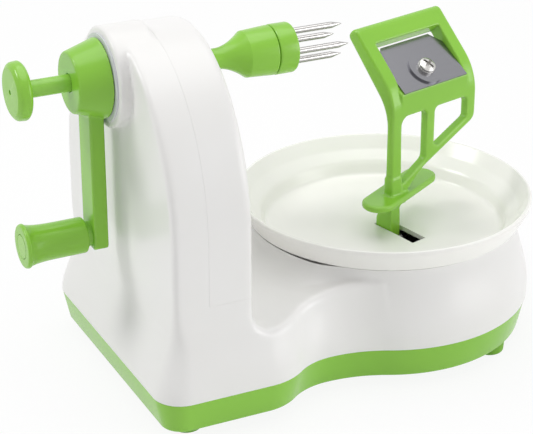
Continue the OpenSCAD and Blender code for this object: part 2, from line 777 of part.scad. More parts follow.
module layshaft_pinion() {
    color(white) part_frame() translate([-layshaft_x, 0, low_z]) difference() {
        linear_extrude(height = gear_w) gear_2d(pinion_teeth, gear_m);
        translate([0, 0, -1]) cylinder(r = layshaft_r, h = gear_w + 2);
    }
}

module compound_gear() {
    color(white) part_frame() translate([-compound_x, 0, low_z]) difference() {
        union() {
            rotate(180 + 180 / compound_teeth)
                linear_extrude(height = gear_w) gear_2d(compound_teeth, gear_m);
            linear_extrude(height = gear_top - low_z) gear_2d(pinion_teeth, gear_m);
        }
        translate([0, 0, -1]) cylinder(r = axle_r + shaft_play, h = gear_top);
    }
}

tray_boss_r = 38;
tray_under = tray_floor_z - tray_wall;

module turntable_gear() {
    rim = pitch_turntable - 6;
    color(white) part_frame() difference() {
        union() {
            translate([0, 0, high_z]) rotate(180 + 180 / turntable_teeth)
                linear_extrude(height = gear_w) gear_2d(turntable_teeth, gear_m);
            translate([0, 0, high_z]) cylinder(r = post_r + 5, h = hub_top - high_z);
        }
        translate([0, 0, high_z - 1]) difference() {
            cylinder(r = rim, h = gear_w - 2);
            cylinder(r = post_r + 5, h = gear_w);
        }
        translate([0, 0, high_z - 1]) cylinder(r = post_r + shaft_play, h = 40);
        for (a = [30:120:270]) rotate(a) translate([tray_boss_r, 0, high_z])
            cylinder(r = tap_r + 0.2, h = gear_w + 1);
    }
}

module tray() {
    floor_r = drum_mouth_r - 8;
    seat = drum_top + run_gap + 0.2;
    lug_lift = hinge_z - hinge_pin_r - 3;
    lift = tray_floor_z - tray_dome;
    inside = concat([for (k = [0:6]) let (t = k / 6) [floor_r * t, tray_floor_z - tray_dome * t * t]],
        [[drum_mouth_r - 4.8, lift + 0.7], [drum_mouth_r - 3.2, lift + 2.5], [drum_mouth_r - 2.6, seat],
         [drum_mouth_r - 0.8, seat + 2.4], [tray_r - 4, tray_rim_z - 4.2], [tray_r - 1.7, tray_rim_z - 0.5],
         [tray_r - 1, tray_rim_z]]);
    outside = concat([[tray_r - 0.4, tray_rim_z - 0.1], [tray_r, tray_rim_z - 0.7],
        [tray_r - 0.2, tray_rim_z - 2.2], [drum_neck_r + 1.7, seat + 0.6], [drum_neck_r + 1.1, seat],
        [drum_mouth_r - 0.4, seat], [drum_mouth_r - 0.7, lift + 2], [drum_mouth_r - 2.4, lift - 1.1],
        [drum_mouth_r - 5, lift - tray_wall + 0.1]],
        [for (k = [6:-1:0]) let (t = k / 6) [floor_r * t, tray_floor_z - tray_dome * t * t - tray_wall]]);
    color(ivory) part_frame() {
        difference() {
            union() {
                rotate_extrude($fn = 120) polygon(concat(inside, outside));
                for (s = [[-stem_side - 5.2, -stem_side - 1], [lug_in, lug_in + 3.6]]) {
                    arm_slice(s[0], s[1]) translate([hinge_r - 5, lug_lift + 3])
                        square([10, tray_under + 0.6 - lug_lift - 3]);
                    on_hinge(s[0], s[1], 5);
                }
                for (a = [30:120:270]) rotate(a) translate([tray_boss_r, 0, high_z + gear_w])
                    cylinder(r = 4.5, h = tray_under - tray_dome - high_z - gear_w + 1.5);
            }
            arm_slice(-stem_side - 0.5, -stem_side - 0.5 + slot_w)
                translate([2.3, tray_under - 6]) square([slot_len, 14]);
            on_hinge(-60, 60, hinge_pin_r);
            for (a = [30:120:270]) rotate(a) translate([tray_boss_r, 0, high_z])
                cylinder(r = tap_r, h = gear_w + 14);
        }
    }
}
lug_in = -stem_side + stem_t + 5.4;

module tray_screws() {
    color(steel) part_frame() for (a = [30:120:270]) rotate(a)
        translate([tray_boss_r, 0, high_z + gear_w - 3]) screw(tap_r, 14, head_r, head_h);
}

module hinge_pin() {
    color(steel) part_frame() on_hinge(-stem_side - 5, lug_in + 3.4, hinge_pin_r);
}

// Torsion spring on the hinge pin, between the stem and the far lug
module arm_spring() {
    turns = 4;
    d = 0.8;
    r = hinge_pin_r + 1.4;
    s0 = -stem_side + stem_t + 0.8;
    pitch = (lug_in - s0 - d - 0.3) / turns;
    coil = [for (i = [0:turns * 12]) let (a = 90 + i * 30)
        [s0 + pitch * i / 12, -hinge_r - r * cos(a), hinge_z + r * sin(a)]];
    last = coil[turns * 12];
    legs = concat([coil[0] + [0, -8, 0]], coil, [last + [0, 7, 0]]);
    echo(arm_spring_gap = pitch - d);
    color(steel) part_frame() arm_frame() wire(legs, d, 6, [1, 0, 0]);
}

module peeling_arm() {
    sill = [arm_front, sill_z];
    top = sill + head_len * head_in;
    inward = [-cos(head_lean), -sin(head_lean)];
    back = inward * head_t;
    round_r = 3;
    round_mid = top + round_r * (inward - head_in);
    left = -stem_side;
    right = left + arm_w;
    inner = arm_front - arm_t;
    opening_top = sill_z - 11.5;
    mid = left + 22.5;
    foot = tray_floor_z + 17;
    stem_front = arm_front + 0.7;
    bed = 3;
    seat = (blade_t + 0.05) * blade_up;
    bed_end = sill + 14 * blade_in;
    color(lime) part_frame() difference() {
        union() {
            // stem and knuckle
            arm_slice(left, left + stem_t) polygon([[2.8, hinge_z + 2], [2.8, tray_floor_z + 4],
                [inner, foot - 2], [inner, foot + 8], [arm_front, foot + 8], [arm_front, foot - 4],
                [stem_front, tray_floor_z + 3], [stem_front, hinge_z]]);
            on_hinge(left, left + stem_t, 5);
            // lower frame
            arm_plate(inner, arm_front) difference() {
                polygon([[left, foot], [left, sill_z], [right, sill_z], [right, sill_z - 24],
                    [right - 2, sill_z - 26.5], [left + 21, foot + 9.5], [left + 14, foot + 4],
                    [left + 9, foot]]);
                polygon([[left + arm_bar, opening_top - 1], [left + arm_bar + 2, opening_top],
                    [mid - 5, opening_top], [mid - 2, opening_top - 3], [mid, opening_top - 9],
                    [mid, opening_top - 25], [left + arm_bar + 2, foot + 5.5], [left + arm_bar, foot + 7]]);
                polygon([[mid + 5, opening_top - 1.5], [mid + 7, opening_top],
                    [right - arm_bar - 2.5, opening_top], [right - arm_bar, opening_top - 2.5],
                    [right - arm_bar, opening_top - 11], [mid + 9, opening_top - 18.4],
                    [mid + 5, opening_top - 15]]);
            }
            // head
            arm_slice(left, right) polygon(concat([[arm_front, sill_z - 4], sill],
                [for (a = [0:30:90]) round_mid + round_r * (sin(a) * head_in - cos(a) * inward)],
                [top + back, [inner + 0.2, sill_z - 7.5], [inner, sill_z - 10]]));
            // bed under the blade
            arm_slice(left + 2, right - 2) polygon([sill - seat,
                bed_end - seat, bed_end - (blade_t + bed) * blade_up,
                [inner - 2, sill_z - 7], [inner, sill_z - 9]]);
            // thumb tab
            arm_frame() translate([left + 11.5, -6.5, foot - 3.2]) rotate(16) linear_extrude(height = 3.2) {
                for (x = [-1, 1]) translate([x * 19, 0]) circle(r = 8);
                square([38, 16], center = true);
            }
        }
        on_hinge(left - 1, right, hinge_pin_r + shaft_play);
        // window through the head, down to the blade
        arm_slice(left + arm_bar + 1, right - arm_bar - 1) polygon([
            sill - 20 * inward, sill - seat, bed_end - seat, bed_end - 12 * blade_up,
            sill + window_len * head_in + 3 * back, sill + window_len * head_in - 3 * back]);
        // room for the screw through the bed
        blade_place() translate([0, 0, -blade_t - bed - 3]) cylinder(r = blade_screw_r + 0.1, h = bed + 4);
        blade_place() translate([0, 0, -blade_t - bed - 12]) cylinder(r = 4.6, h = 12);
    }
}

// Middle of the washer on the upper face of the blade, with z out of the blade
module blade_place() {
    c = [arm_front, sill_z] + blade_hole * blade_in;
    arm_frame() translate([arm_mid, -c[0], c[1]]) rotate([blade_slope, 0, 0]) children();
}

blade_hole = 9.4;

module blade() {
    half_w = arm_w / 2 - arm_bar - 1.3;
    tip = blade_len - blade_hole;
    color(steel) part_frame() blade_place() translate([0, 0, -blade_t]) difference() {
        linear_extrude(height = blade_t) polygon([[-half_w, -blade_hole], [half_w, -blade_hole],
            [half_w, tip - 6], [half_w - 5, tip], [5 - half_w, tip], [-half_w, tip - 6]]);
        translate([0, 0, -1]) cylinder(r = blade_screw_r + 0.1, h = 4);
    }
}

module blade_washer() {
    color(steel) part_frame() blade_place() difference() {
        cylinder(r = washer_r, h = 1);
        translate([0, 0, -1]) cylinder(r = blade_screw_r + 0.1, h = 4);
    }
}

module blade_screw() {
    color(steel) part_frame() blade_place() translate([0, 0, 1]) mirror([0, 0, 1])
        screw(blade_screw_r, 9, 4, 2.8);
}

module blade_nut() {
    color(steel) part_frame() blade_place() translate([0, 0, -blade_t - 3 - 3.2]) difference() {
        cylinder(r = 4, h = 3.2, $fn = 6);
        translate([0, 0, -1]) cylinder(r = blade_screw_r, h = 6);
    }
}

base_tray();
rubber_feet();
base_screws();
body_shell();
column_cover();
crank_bush();
fork_bush();
gear_bracket();
bracket_screws();
compound_axle();
axle_clip();
pivot_washer();
pivot_screw();
crank_arm();
drive_shaft();
shaft_pinion();
fork_head();
fork_tines();
grip_pin();
crank_grip();
push_knob();
push_rod();
eject_rod();
eject_ring();
eject_spring();
layshaft();
crown_wheel();
layshaft_pinion();
compound_gear();
turntable_gear();
tray();
tray_screws();
hinge_pin();
arm_spring();
peeling_arm();
blade();
blade_washer();
blade_screw();
blade_nut();
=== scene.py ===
import json
import math
import bmesh
import bpy
import numpy as np
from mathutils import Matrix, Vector

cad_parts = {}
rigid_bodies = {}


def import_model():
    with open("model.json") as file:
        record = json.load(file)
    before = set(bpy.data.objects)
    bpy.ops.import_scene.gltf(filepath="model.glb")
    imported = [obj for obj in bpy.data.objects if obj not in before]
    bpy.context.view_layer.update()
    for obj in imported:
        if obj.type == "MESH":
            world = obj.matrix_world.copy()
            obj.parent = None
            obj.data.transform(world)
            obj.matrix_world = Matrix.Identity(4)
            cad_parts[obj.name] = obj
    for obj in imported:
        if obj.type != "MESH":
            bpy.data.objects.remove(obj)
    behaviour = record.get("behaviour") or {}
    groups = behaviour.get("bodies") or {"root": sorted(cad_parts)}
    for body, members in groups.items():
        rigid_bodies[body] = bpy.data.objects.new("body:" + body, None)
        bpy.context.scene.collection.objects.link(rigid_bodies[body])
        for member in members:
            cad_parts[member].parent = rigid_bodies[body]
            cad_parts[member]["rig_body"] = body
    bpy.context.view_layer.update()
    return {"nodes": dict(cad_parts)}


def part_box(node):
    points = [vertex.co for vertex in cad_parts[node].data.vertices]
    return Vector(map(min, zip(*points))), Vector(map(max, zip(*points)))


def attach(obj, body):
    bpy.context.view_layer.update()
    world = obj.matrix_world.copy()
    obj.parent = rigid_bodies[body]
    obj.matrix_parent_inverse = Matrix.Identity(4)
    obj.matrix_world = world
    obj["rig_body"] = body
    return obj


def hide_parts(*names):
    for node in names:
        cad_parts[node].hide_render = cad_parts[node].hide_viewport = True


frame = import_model()

# lengths below are millimetres from the tray axis and the underside of the base
trayLow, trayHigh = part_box("tray")
trayAxisX = (trayLow.x + trayHigh.x) * 500
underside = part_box("base_tray")[0].z * 1000
shaftHeight = 143.3
print("frame loaded, tray axis", round(trayAxisX, 1), "underside", round(underside, 1))


def toFrame(points):
    return (np.asarray(points, float) + (trayAxisX, 0, underside)) * 0.001


# camera at the photograph's angle
cameraView = {"place": (-403.2, -704.5, 424.4), "tilt": 65.14, "turn": -25.85, "lens": 125.95}
cameraData = bpy.data.cameras.new("camera")
cameraData.sensor_width = 36
cameraData.lens = cameraView["lens"]
cameraData.clip_end = 50
camera = bpy.data.objects.new("camera", cameraData)
camera.location = toFrame(cameraView["place"])
camera.rotation_euler = (math.radians(cameraView["tilt"]), 0, math.radians(cameraView["turn"]))
bpy.context.scene.collection.objects.link(camera)
bpy.context.scene.camera = camera
bpy.context.scene.view_settings.view_transform = "Standard"


# shared shader effects
def screenColour(red, green, blue):
    parts = [c / 255 for c in (red, green, blue)]
    return tuple(c / 12.92 if c <= 0.04045 else ((c + 0.055) / 1.055) ** 2.4 for c in parts) + (1,)


def addNode(tree, kind, settings=None, sockets=None):
    node = tree.nodes.new(kind)
    for key, value in (settings or {}).items():
        setattr(node, key, value)
    for key, value in (sockets or {}).items():
        node.inputs[key].default_value = value
    return node


def newGroup(name, inputs, outputs):
    group = bpy.data.node_groups.new(name, "ShaderNodeTree")
    for label, kind, value in inputs:
        socket = group.interface.new_socket(label, in_out="INPUT", socket_type=kind)
        socket.default_value = value
    for label, kind in outputs:
        group.interface.new_socket(label, in_out="OUTPUT", socket_type=kind)
    return group, addNode(group, "NodeGroupInput"), addNode(group, "NodeGroupOutput")


def makeMouldedSkin():
    group, given, result = newGroup("mouldedSkin", [
        ("Colour", "NodeSocketColor", (0.8, 0.8, 0.8, 1)),
        ("Shade Colour", "NodeSocketColor", (0.7, 0.7, 0.7, 1)),
        ("Flow Scale", "NodeSocketFloat", 18), ("Grain Scale", "NodeSocketFloat", 1600),
        ("Roughness", "NodeSocketFloat", 0.3), ("Roughness Spread", "NodeSocketFloat", 0.08)],
        [("Colour", "NodeSocketColor"), ("Roughness", "NodeSocketFloat"), ("Height", "NodeSocketFloat")])
    link = group.links.new
    place = addNode(group, "ShaderNodeTexCoord")
    flow = addNode(group, "ShaderNodeTexNoise", sockets={"Detail": 2, "Distortion": 0.6})
    link(place.outputs["Object"], flow.inputs["Vector"])
    link(given.outputs["Flow Scale"], flow.inputs["Scale"])
    spread = addNode(group, "ShaderNodeMapRange", sockets={"From Min": 0.3, "From Max": 0.7})
    link(flow.outputs["Fac"], spread.inputs["Value"])
    tint = addNode(group, "ShaderNodeMix", {"data_type": "RGBA"})
    link(spread.outputs["Result"], tint.inputs[0])
    link(given.outputs["Colour"], tint.inputs[6])
    link(given.outputs["Shade Colour"], tint.inputs[7])
    link(tint.outputs[2], result.inputs["Colour"])
    grain = addNode(group, "ShaderNodeTexNoise", sockets={"Detail": 3, "Roughness": 0.6})
    link(place.outputs["Object"], grain.inputs["Vector"])
    link(given.outputs["Grain Scale"], grain.inputs["Scale"])
    link(grain.outputs["Fac"], result.inputs["Height"])
    smudge = addNode(group, "ShaderNodeTexNoise", sockets={"Scale": 90, "Detail": 4})
    link(place.outputs["Object"], smudge.inputs["Vector"])
    centred = addNode(group, "ShaderNodeMath", {"operation": "SUBTRACT"}, {1: 0.5})
    link(smudge.outputs["Fac"], centred.inputs[0])
    scaled = addNode(group, "ShaderNodeMath", {"operation": "MULTIPLY_ADD"})
    link(centred.outputs[0], scaled.inputs[0])
    link(given.outputs["Roughness Spread"], scaled.inputs[1])
    link(given.outputs["Roughness"], scaled.inputs[2])
    link(scaled.outputs[0], result.inputs["Roughness"])
    return group


def makeEdgeShine():
    group, given, result = newGroup("edgeShine", [
        ("Colour", "NodeSocketColor", (0.8, 0.8, 0.8, 1)), ("Edge Colour", "NodeSocketColor", (1, 1, 1, 1)),
        ("Amount", "NodeSocketFloat", 0.4)], [("Colour", "NodeSocketColor")])
    link = group.links.new
    # painted highlight: convex edges, found by pointiness and broken up by noise, are lightened towards the
    # edge colour
    geometry = addNode(group, "ShaderNodeNewGeometry")
    edge = addNode(group, "ShaderNodeMapRange", sockets={"From Min": 0.51, "From Max": 0.58})
    link(geometry.outputs["Pointiness"], edge.inputs["Value"])
    place = addNode(group, "ShaderNodeTexCoord")
    broken = addNode(group, "ShaderNodeTexNoise", sockets={"Scale": 160, "Detail": 3})
    link(place.outputs["Object"], broken.inputs["Vector"])
    paintedEdgeHighlight = addNode(group, "ShaderNodeMath", {"operation": "MULTIPLY"})
    link(edge.outputs["Result"], paintedEdgeHighlight.inputs[0])
    link(broken.outputs["Fac"], paintedEdgeHighlight.inputs[1])
    amount = addNode(group, "ShaderNodeMath", {"operation": "MULTIPLY", "use_clamp": True})
    link(paintedEdgeHighlight.outputs[0], amount.inputs[0])
    link(given.outputs["Amount"], amount.inputs[1])
    tint = addNode(group, "ShaderNodeMix", {"data_type": "RGBA"})
    link(amount.outputs[0], tint.inputs[0])
    link(given.outputs["Colour"], tint.inputs[6])
    link(given.outputs["Edge Colour"], tint.inputs[7])
    link(tint.outputs[2], result.inputs["Colour"])
    return group


def makeBrushedSteel():
    group, given, result = newGroup("brushedSteel", [
        ("Colour", "NodeSocketColor", (0.6, 0.6, 0.6, 1)),
        ("Line Colour", "NodeSocketColor", (0.5, 0.5, 0.5, 1)),
        ("Stretch", "NodeSocketVector", (20, 900, 900)), ("Turn", "NodeSocketVector", (0, 0, 0)),
        ("Roughness", "NodeSocketFloat", 0.3)],
        [("Colour", "NodeSocketColor"), ("Roughness", "NodeSocketFloat"), ("Height", "NodeSocketFloat")])
    link = group.links.new
    place = addNode(group, "ShaderNodeTexCoord")
    turned = addNode(group, "ShaderNodeMapping")
    link(place.outputs["Object"], turned.inputs["Vector"])
    link(given.outputs["Turn"], turned.inputs["Rotation"])
    stretched = addNode(group, "ShaderNodeVectorMath", {"operation": "MULTIPLY"})
    link(turned.outputs["Vector"], stretched.inputs[0])
    link(given.outputs["Stretch"], stretched.inputs[1])
    lines = addNode(group, "ShaderNodeTexNoise", sockets={"Scale": 1, "Detail": 4, "Roughness": 0.65})
    link(stretched.outputs["Vector"], lines.inputs["Vector"])
    tint = addNode(group, "ShaderNodeMix", {"data_type": "RGBA"})
    link(lines.outputs["Fac"], tint.inputs[0])
    link(given.outputs["Colour"], tint.inputs[6])
    link(given.outputs["Line Colour"], tint.inputs[7])
    link(tint.outputs[2], result.inputs["Colour"])
    rough = addNode(group, "ShaderNodeMath", {"operation": "MULTIPLY_ADD"}, {1: 0.14})
    link(lines.outputs["Fac"], rough.inputs[0])
    link(given.outputs["Roughness"], rough.inputs[2])
    link(rough.outputs[0], result.inputs["Roughness"])
    link(lines.outputs["Fac"], result.inputs["Height"])
    return group


mouldedSkin = makeMouldedSkin()
edgeShine = makeEdgeShine()
brushedSteel = makeBrushedSteel()


def startMaterial(name, group, values):
    material = bpy.data.materials.new(name)
    material.use_nodes = True
    tree = material.node_tree
    shader = tree.nodes["Principled BSDF"]
    skin = addNode(tree, "ShaderNodeGroup", {"node_tree": group}, values)
    bump = addNode(tree, "ShaderNodeBump")
    tree.links.new(skin.outputs["Roughness"], shader.inputs["Roughness"])
    tree.links.new(skin.outputs["Height"], bump.inputs["Height"])
    tree.links.new(bump.outputs["Normal"], shader.inputs["Normal"])
    return material, tree, shader, skin, bump


def plasticMaterial(name, colour, shadeColour, edge, rough, grain, bumpDepth, edgeAmount=0.4, spread=0.08):
    material, tree, shader, skin, bump = startMaterial(name, mouldedSkin, {
        "Colour": colour, "Shade Colour": shadeColour, "Roughness": rough, "Grain Scale": grain,
        "Roughness Spread": spread})
    bump.inputs["Strength"].default_value = 0.35
    bump.inputs["Distance"].default_value = bumpDepth
    # the edge colour is a painted highlight laid along convex edges
    if edge:
        rim = addNode(tree, "ShaderNodeGroup", {"node_tree": edgeShine},
                      {"Edge Colour": edge, "Amount": edgeAmount})
        tree.links.new(skin.outputs["Colour"], rim.inputs["Colour"])
        tree.links.new(rim.outputs["Colour"], shader.inputs["Base Color"])
    else:
        tree.links.new(skin.outputs["Colour"], shader.inputs["Base Color"])
    return material


def steelMaterial(name, colour, line, rough, stretch, turn=(0, 0, 0), bumpDepth=0.00002):
    material, tree, shader, skin, bump = startMaterial(name, brushedSteel, {
        "Colour": colour, "Line Colour": line, "Roughness": rough, "Stretch": stretch, "Turn": turn})
    bump.inputs["Strength"].default_value = 0.3
    bump.inputs["Distance"].default_value = bumpDepth
    tree.links.new(skin.outputs["Colour"], shader.inputs["Base Color"])
    shader.inputs["Metallic"].default_value = 1
    return material


# the third colour of each plastic is its painted highlight on convex edges
limePlastic = plasticMaterial("limePlastic", screenColour(139, 199, 61), screenColour(134, 194, 57),
                              screenColour(176, 224, 116), 0.24, 1500, 0.00002)
whitePlastic = plasticMaterial("whitePlastic", screenColour(238, 237, 236), screenColour(236, 235, 233),
                               None, 0.3, 1300, 0.00001, spread=0.03)
ivoryPlastic = plasticMaterial("ivoryPlastic", screenColour(247, 246, 242), screenColour(245, 244, 240),
                               None, 0.22, 1100, 0.00001, spread=0.03)
greyPlastic = plasticMaterial("greyPlastic", screenColour(214, 217, 220), screenColour(203, 206, 210),
                              screenColour(232, 234, 236), 0.34, 1500, 0.00003)
gearPlastic = plasticMaterial("gearPlastic", screenColour(226, 224, 216), screenColour(217, 214, 204),
                              screenColour(240, 238, 232), 0.42, 1200, 0.00004)
footRubber = plasticMaterial("footRubber", screenColour(128, 186, 58), screenColour(118, 174, 50),
                             screenColour(150, 200, 90), 0.62, 900, 0.00008, 0.25)
brightSteel = steelMaterial("brightSteel", (0.52, 0.51, 0.5, 1), (0.42, 0.41, 0.4, 1), 0.12, (60, 1400, 1400))
screwSteel = steelMaterial("screwSteel", (0.66, 0.65, 0.63, 1), (0.5, 0.49, 0.47, 1), 0.2, (500, 500, 500))
bladeSteel = steelMaterial("bladeSteel", (0.29, 0.29, 0.31, 1), (0.23, 0.23, 0.245, 1), 0.14, (30, 1500, 700),
                           (0, 0, math.radians(-15)))
print("materials made")


# shapes
def softStep(t):
    t = np.clip(t, 0, 1)
    return t * t * (3 - 2 * t)


def roundMax(a, b, r):
    return np.minimum(np.maximum(a + r, b + r), 0) + np.hypot(np.maximum(a + r, 0), np.maximum(b + r, 0)) - r


def roundMin(a, b, r):
    return -roundMax(-a, -b, r)


def filleted(corners, closed=False, steps=6):
    # corners are (u, v) or (u, v, radius); a corner with a radius becomes an arc
    points, count = [], len(corners)
    for i, corner in enumerate(corners):
        here = Vector(corner[:2])
        radius = corner[2] if len(corner) > 2 else 0
        if not radius or (not closed and i in (0, count - 1)):
            points.append(tuple(here))
            continue
        before = (Vector(corners[i - 1][:2]) - here)
        after = (Vector(corners[(i + 1) % count][:2]) - here)
        half = before.angle(after) / 2
        reach = min(radius / math.tan(half), before.length * 0.49, after.length * 0.49)
        start, end = here + before.normalized() * reach, here + after.normalized() * reach
        bulge = reach * math.tan(half)
        middle = here + (before.normalized() + after.normalized()).normalized() * math.hypot(reach, bulge)
        for k in range(steps + 1):
            arm = (start - middle).lerp(end - middle, k / steps)
            points.append(tuple(middle + arm.normalized() * bulge))
    return points


def loopDistance(u, v, loop):
    # distance to a closed loop, negative inside
    nearest = np.full(np.shape(u), 1e9)
    inside = np.zeros(np.shape(u), bool)
    for (ax, ay), (bx, by) in zip(loop, loop[1:] + loop[:1]):
        ex, ey = bx - ax, by - ay
        along = np.clip(((u - ax) * ex + (v - ay) * ey) / (ex * ex + ey * ey + 1e-12), 0, 1)
        nearest = np.minimum(nearest, (u - ax - along * ex) ** 2 + (v - ay - along * ey) ** 2)
        if ey:
            inside ^= ((ay <= v) != (by <= v)) & (u < ax + (v - ay) * ex / ey)
    return np.where(inside, -1, 1) * np.sqrt(nearest)


def newObject(name, points, faces):
    mesh = bpy.data.meshes.new(name)
    mesh.from_pydata([tuple(p) for p in points], [], faces)
    obj = bpy.data.objects.new(name, mesh)
    bpy.context.scene.collection.objects.link(obj)
    return obj


def editMesh(obj, change):
    shape = bmesh.new()
    shape.from_mesh(obj.data)
    change(shape)
    shape.to_mesh(obj.data)
    shape.free()
    obj.data.update()


def turnOut(shape):
    bmesh.ops.remove_doubles(shape, verts=shape.verts, dist=1e-7)
    bmesh.ops.recalc_face_normals(shape, faces=shape.faces)


def moulded(name, field, low, high, step, settle=5):
    # mesh of the surface where the field is zero, one point in each cell that it crosses
    axes = [np.arange(a, b + step, step) for a, b in zip(low, high)]
    value = field(*np.meshgrid(*axes, indexing="ij"))
    inside = value < 0
    corners = [(i, j, k) for i in (0, 1) for j in (0, 1) for k in (0, 1)]
    size = tuple(n - 1 for n in value.shape)
    filled = np.zeros(size, np.int8)
    for i, j, k in corners:
        filled += inside[i:i + size[0], j:j + size[1], k:k + size[2]]
    cells = np.argwhere((filled > 0) & (filled < 8))
    number = np.full(size, -1)
    number[tuple(cells.T)] = np.arange(len(cells))
    atCorner = {c: value[tuple((cells + c).T)] for c in corners}
    total, count = np.zeros((len(cells), 3)), np.zeros(len(cells))
    for a in corners:
        for axis in range(3):
            if a[axis]:
                continue
            b = tuple(1 if i == axis else n for i, n in enumerate(a))
            va, vb = atCorner[a], atCorner[b]
            crossed = (va < 0) != (vb < 0)
            share = np.where(crossed, va / np.where(crossed, va - vb, 1), 0)
            point = np.tile(np.array(a, float), (len(cells), 1))
            point[:, axis] += share
            total[crossed] += point[crossed]
            count += crossed
    points = np.array(low, float) + (cells + total / count[:, None]) * step
    small = step * 0.04
    nudges = small * np.eye(3)
    for _ in range(settle):
        slope = np.stack([(field(*(points + nudge).T) - field(*(points - nudge).T)) / (2 * small)
                          for nudge in nudges], 1)
        move = slope * (field(*points.T) / np.maximum((slope ** 2).sum(1), 0.05))[:, None]
        length = np.linalg.norm(move, axis=1, keepdims=True)
        points -= move * np.minimum(1, 0.5 * step / np.maximum(length, 1e-9))
    faces = []
    for axis, (a, b) in enumerate([(1, 2), (2, 0), (0, 1)]):
        first = [slice(None)] * 3
        second = [slice(None)] * 3
        first[axis], second[axis] = slice(None, -1), slice(1, None)
        start, end = inside[tuple(first)], inside[tuple(second)]
        edges = np.argwhere(start != end)
        keep = (edges[:, a] > 0) & (edges[:, b] > 0) & (edges[:, a] < size[a]) & (edges[:, b] < size[b])
        edges = edges[keep]
        around = []
        for da, db in [(0, 0), (-1, 0), (-1, -1), (0, -1)]:
            cell = edges.copy()
            cell[:, a] += da
            cell[:, b] += db
            around.append(number[tuple(cell.T)])
        quads = np.stack(around, 1)
        outward = start[tuple(edges.T)]
        faces += np.where(outward[:, None], quads, quads[:, ::-1]).tolist()
    return newObject(name, points, faces)


def turned(name, profile, start, along, segments=96, closed=False):
    # profile is (distance along the axis, radius); a closed profile makes a ring
    along = Vector(along).normalized()
    side = along.orthogonal().normalized()
    other = along.cross(side)
    points, rings = [], []
    for distance, radius in profile:
        middle = Vector(start) + along * distance
        if radius < 1e-6:
            rings.append([len(points)])
            points.append(middle)
            continue
        rings.append(list(range(len(points), len(points) + segments)))
        for k in range(segments):
            angle = 2 * math.pi * k / segments
            points.append(middle + (side * math.cos(angle) + other * math.sin(angle)) * radius)
    faces = []
    pairs = list(zip(rings, rings[1:])) + ([(rings[-1], rings[0])] if closed else [])
    for one, two in pairs:
        if len(one) == 1 and len(two) == 1:
            continue
        for k in range(segments):
            n = (k + 1) % segments
            if len(one) == 1:
                faces.append([one[0], two[n], two[k]])
            elif len(two) == 1:
                faces.append([one[k], one[n], two[0]])
            else:
                faces.append([one[k], one[n], two[n], two[k]])
    obj = newObject(name, points, faces)
    editMesh(obj, turnOut)
    return obj


boxFaces = [(0, 1, 3, 2), (4, 6, 7, 5), (0, 4, 5, 1), (2, 3, 7, 6), (0, 2, 6, 4), (1, 5, 7, 3)]


def boxPiece(name, corners):
    obj = newObject(name, corners, boxFaces)
    editMesh(obj, turnOut)
    return obj


def intoFrame(obj):
    spots = np.empty(len(obj.data.vertices) * 3)
    obj.data.vertices.foreach_get("co", spots)
    obj.data.vertices.foreach_set("co", toFrame(spots.reshape(-1, 3)).ravel())
    obj.data.update()


def shade(obj, angle=38):
    obj.data.shade_smooth()
    obj.data.set_sharp_from_angle(angle=math.radians(angle))


def settle(obj):
    # modifiers become part of the mesh
    ready = bpy.data.meshes.new_from_object(obj.evaluated_get(bpy.context.evaluated_depsgraph_get()))
    obj.modifiers.clear()
    obj.data = ready


def cutWith(obj, tool):
    modifier = obj.modifiers.new("cut", "BOOLEAN")
    modifier.operation = "DIFFERENCE"
    modifier.solver = "EXACT"
    modifier.object = tool
    settle(obj)
    bpy.data.objects.remove(tool)


bodyOf = {node: obj["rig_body"] for node, obj in frame["nodes"].items()}


def finishPiece(obj, material, node, angle=38):
    # the piece takes the place of one CAD node
    obj.data.materials.clear()
    obj.data.materials.append(material)
    shade(obj, angle)
    intoFrame(obj)
    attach(obj, bodyOf[node])
    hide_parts(node)
    print(obj.name, "made,", len(obj.data.polygons), "faces")


# plan of the base: straight under the column, drawn in at the waist, round at the drum
plan = {"end": 143.1, "half": 68.5, "corner": 13, "bendStart": 92, "waistX": 57.6, "waistHalf": 56.7,
        "drum": 70}
waistSpan, waistDrop = plan["bendStart"] - plan["waistX"], plan["half"] - plan["waistHalf"]
bendRadius = (waistSpan ** 2 + waistDrop ** 2) / (4 * waistDrop)
neckReach = plan["waistX"] ** 2 + plan["waistHalf"] ** 2 - plan["drum"] ** 2
neckRadius = neckReach / (2 * (plan["drum"] - plan["waistHalf"]))
bendAngle = math.degrees(math.asin(waistSpan / (2 * bendRadius)))
neckAngle = math.degrees(math.atan2(plan["waistHalf"] + neckRadius, plan["waistX"]))
drumStartX = -plan["drum"] * math.cos(math.radians(neckAngle))


def planHalf(x):
    # half width at x, and its slope
    p = plan
    first = np.sqrt(np.maximum(bendRadius ** 2 - (x + p["bendStart"]) ** 2, 1))
    second = np.sqrt(np.maximum(bendRadius ** 2 - (x + p["waistX"]) ** 2, 1))
    third = np.sqrt(np.maximum(neckRadius ** 2 - (x + p["waistX"]) ** 2, 1))
    middle = -(p["bendStart"] + p["waistX"]) / 2
    places = [x < -p["bendStart"], x < middle, x < -p["waistX"]]
    half = np.select(places, [np.full(np.shape(x), p["half"]), p["half"] - bendRadius + first,
                              p["waistHalf"] + bendRadius - second], p["waistHalf"] + neckRadius - third)
    slope = np.select(places, [np.zeros(np.shape(x)), -(x + p["bendStart"]) / first,
                               (x + p["waistX"]) / second], (x + p["waistX"]) / third)
    return half, slope


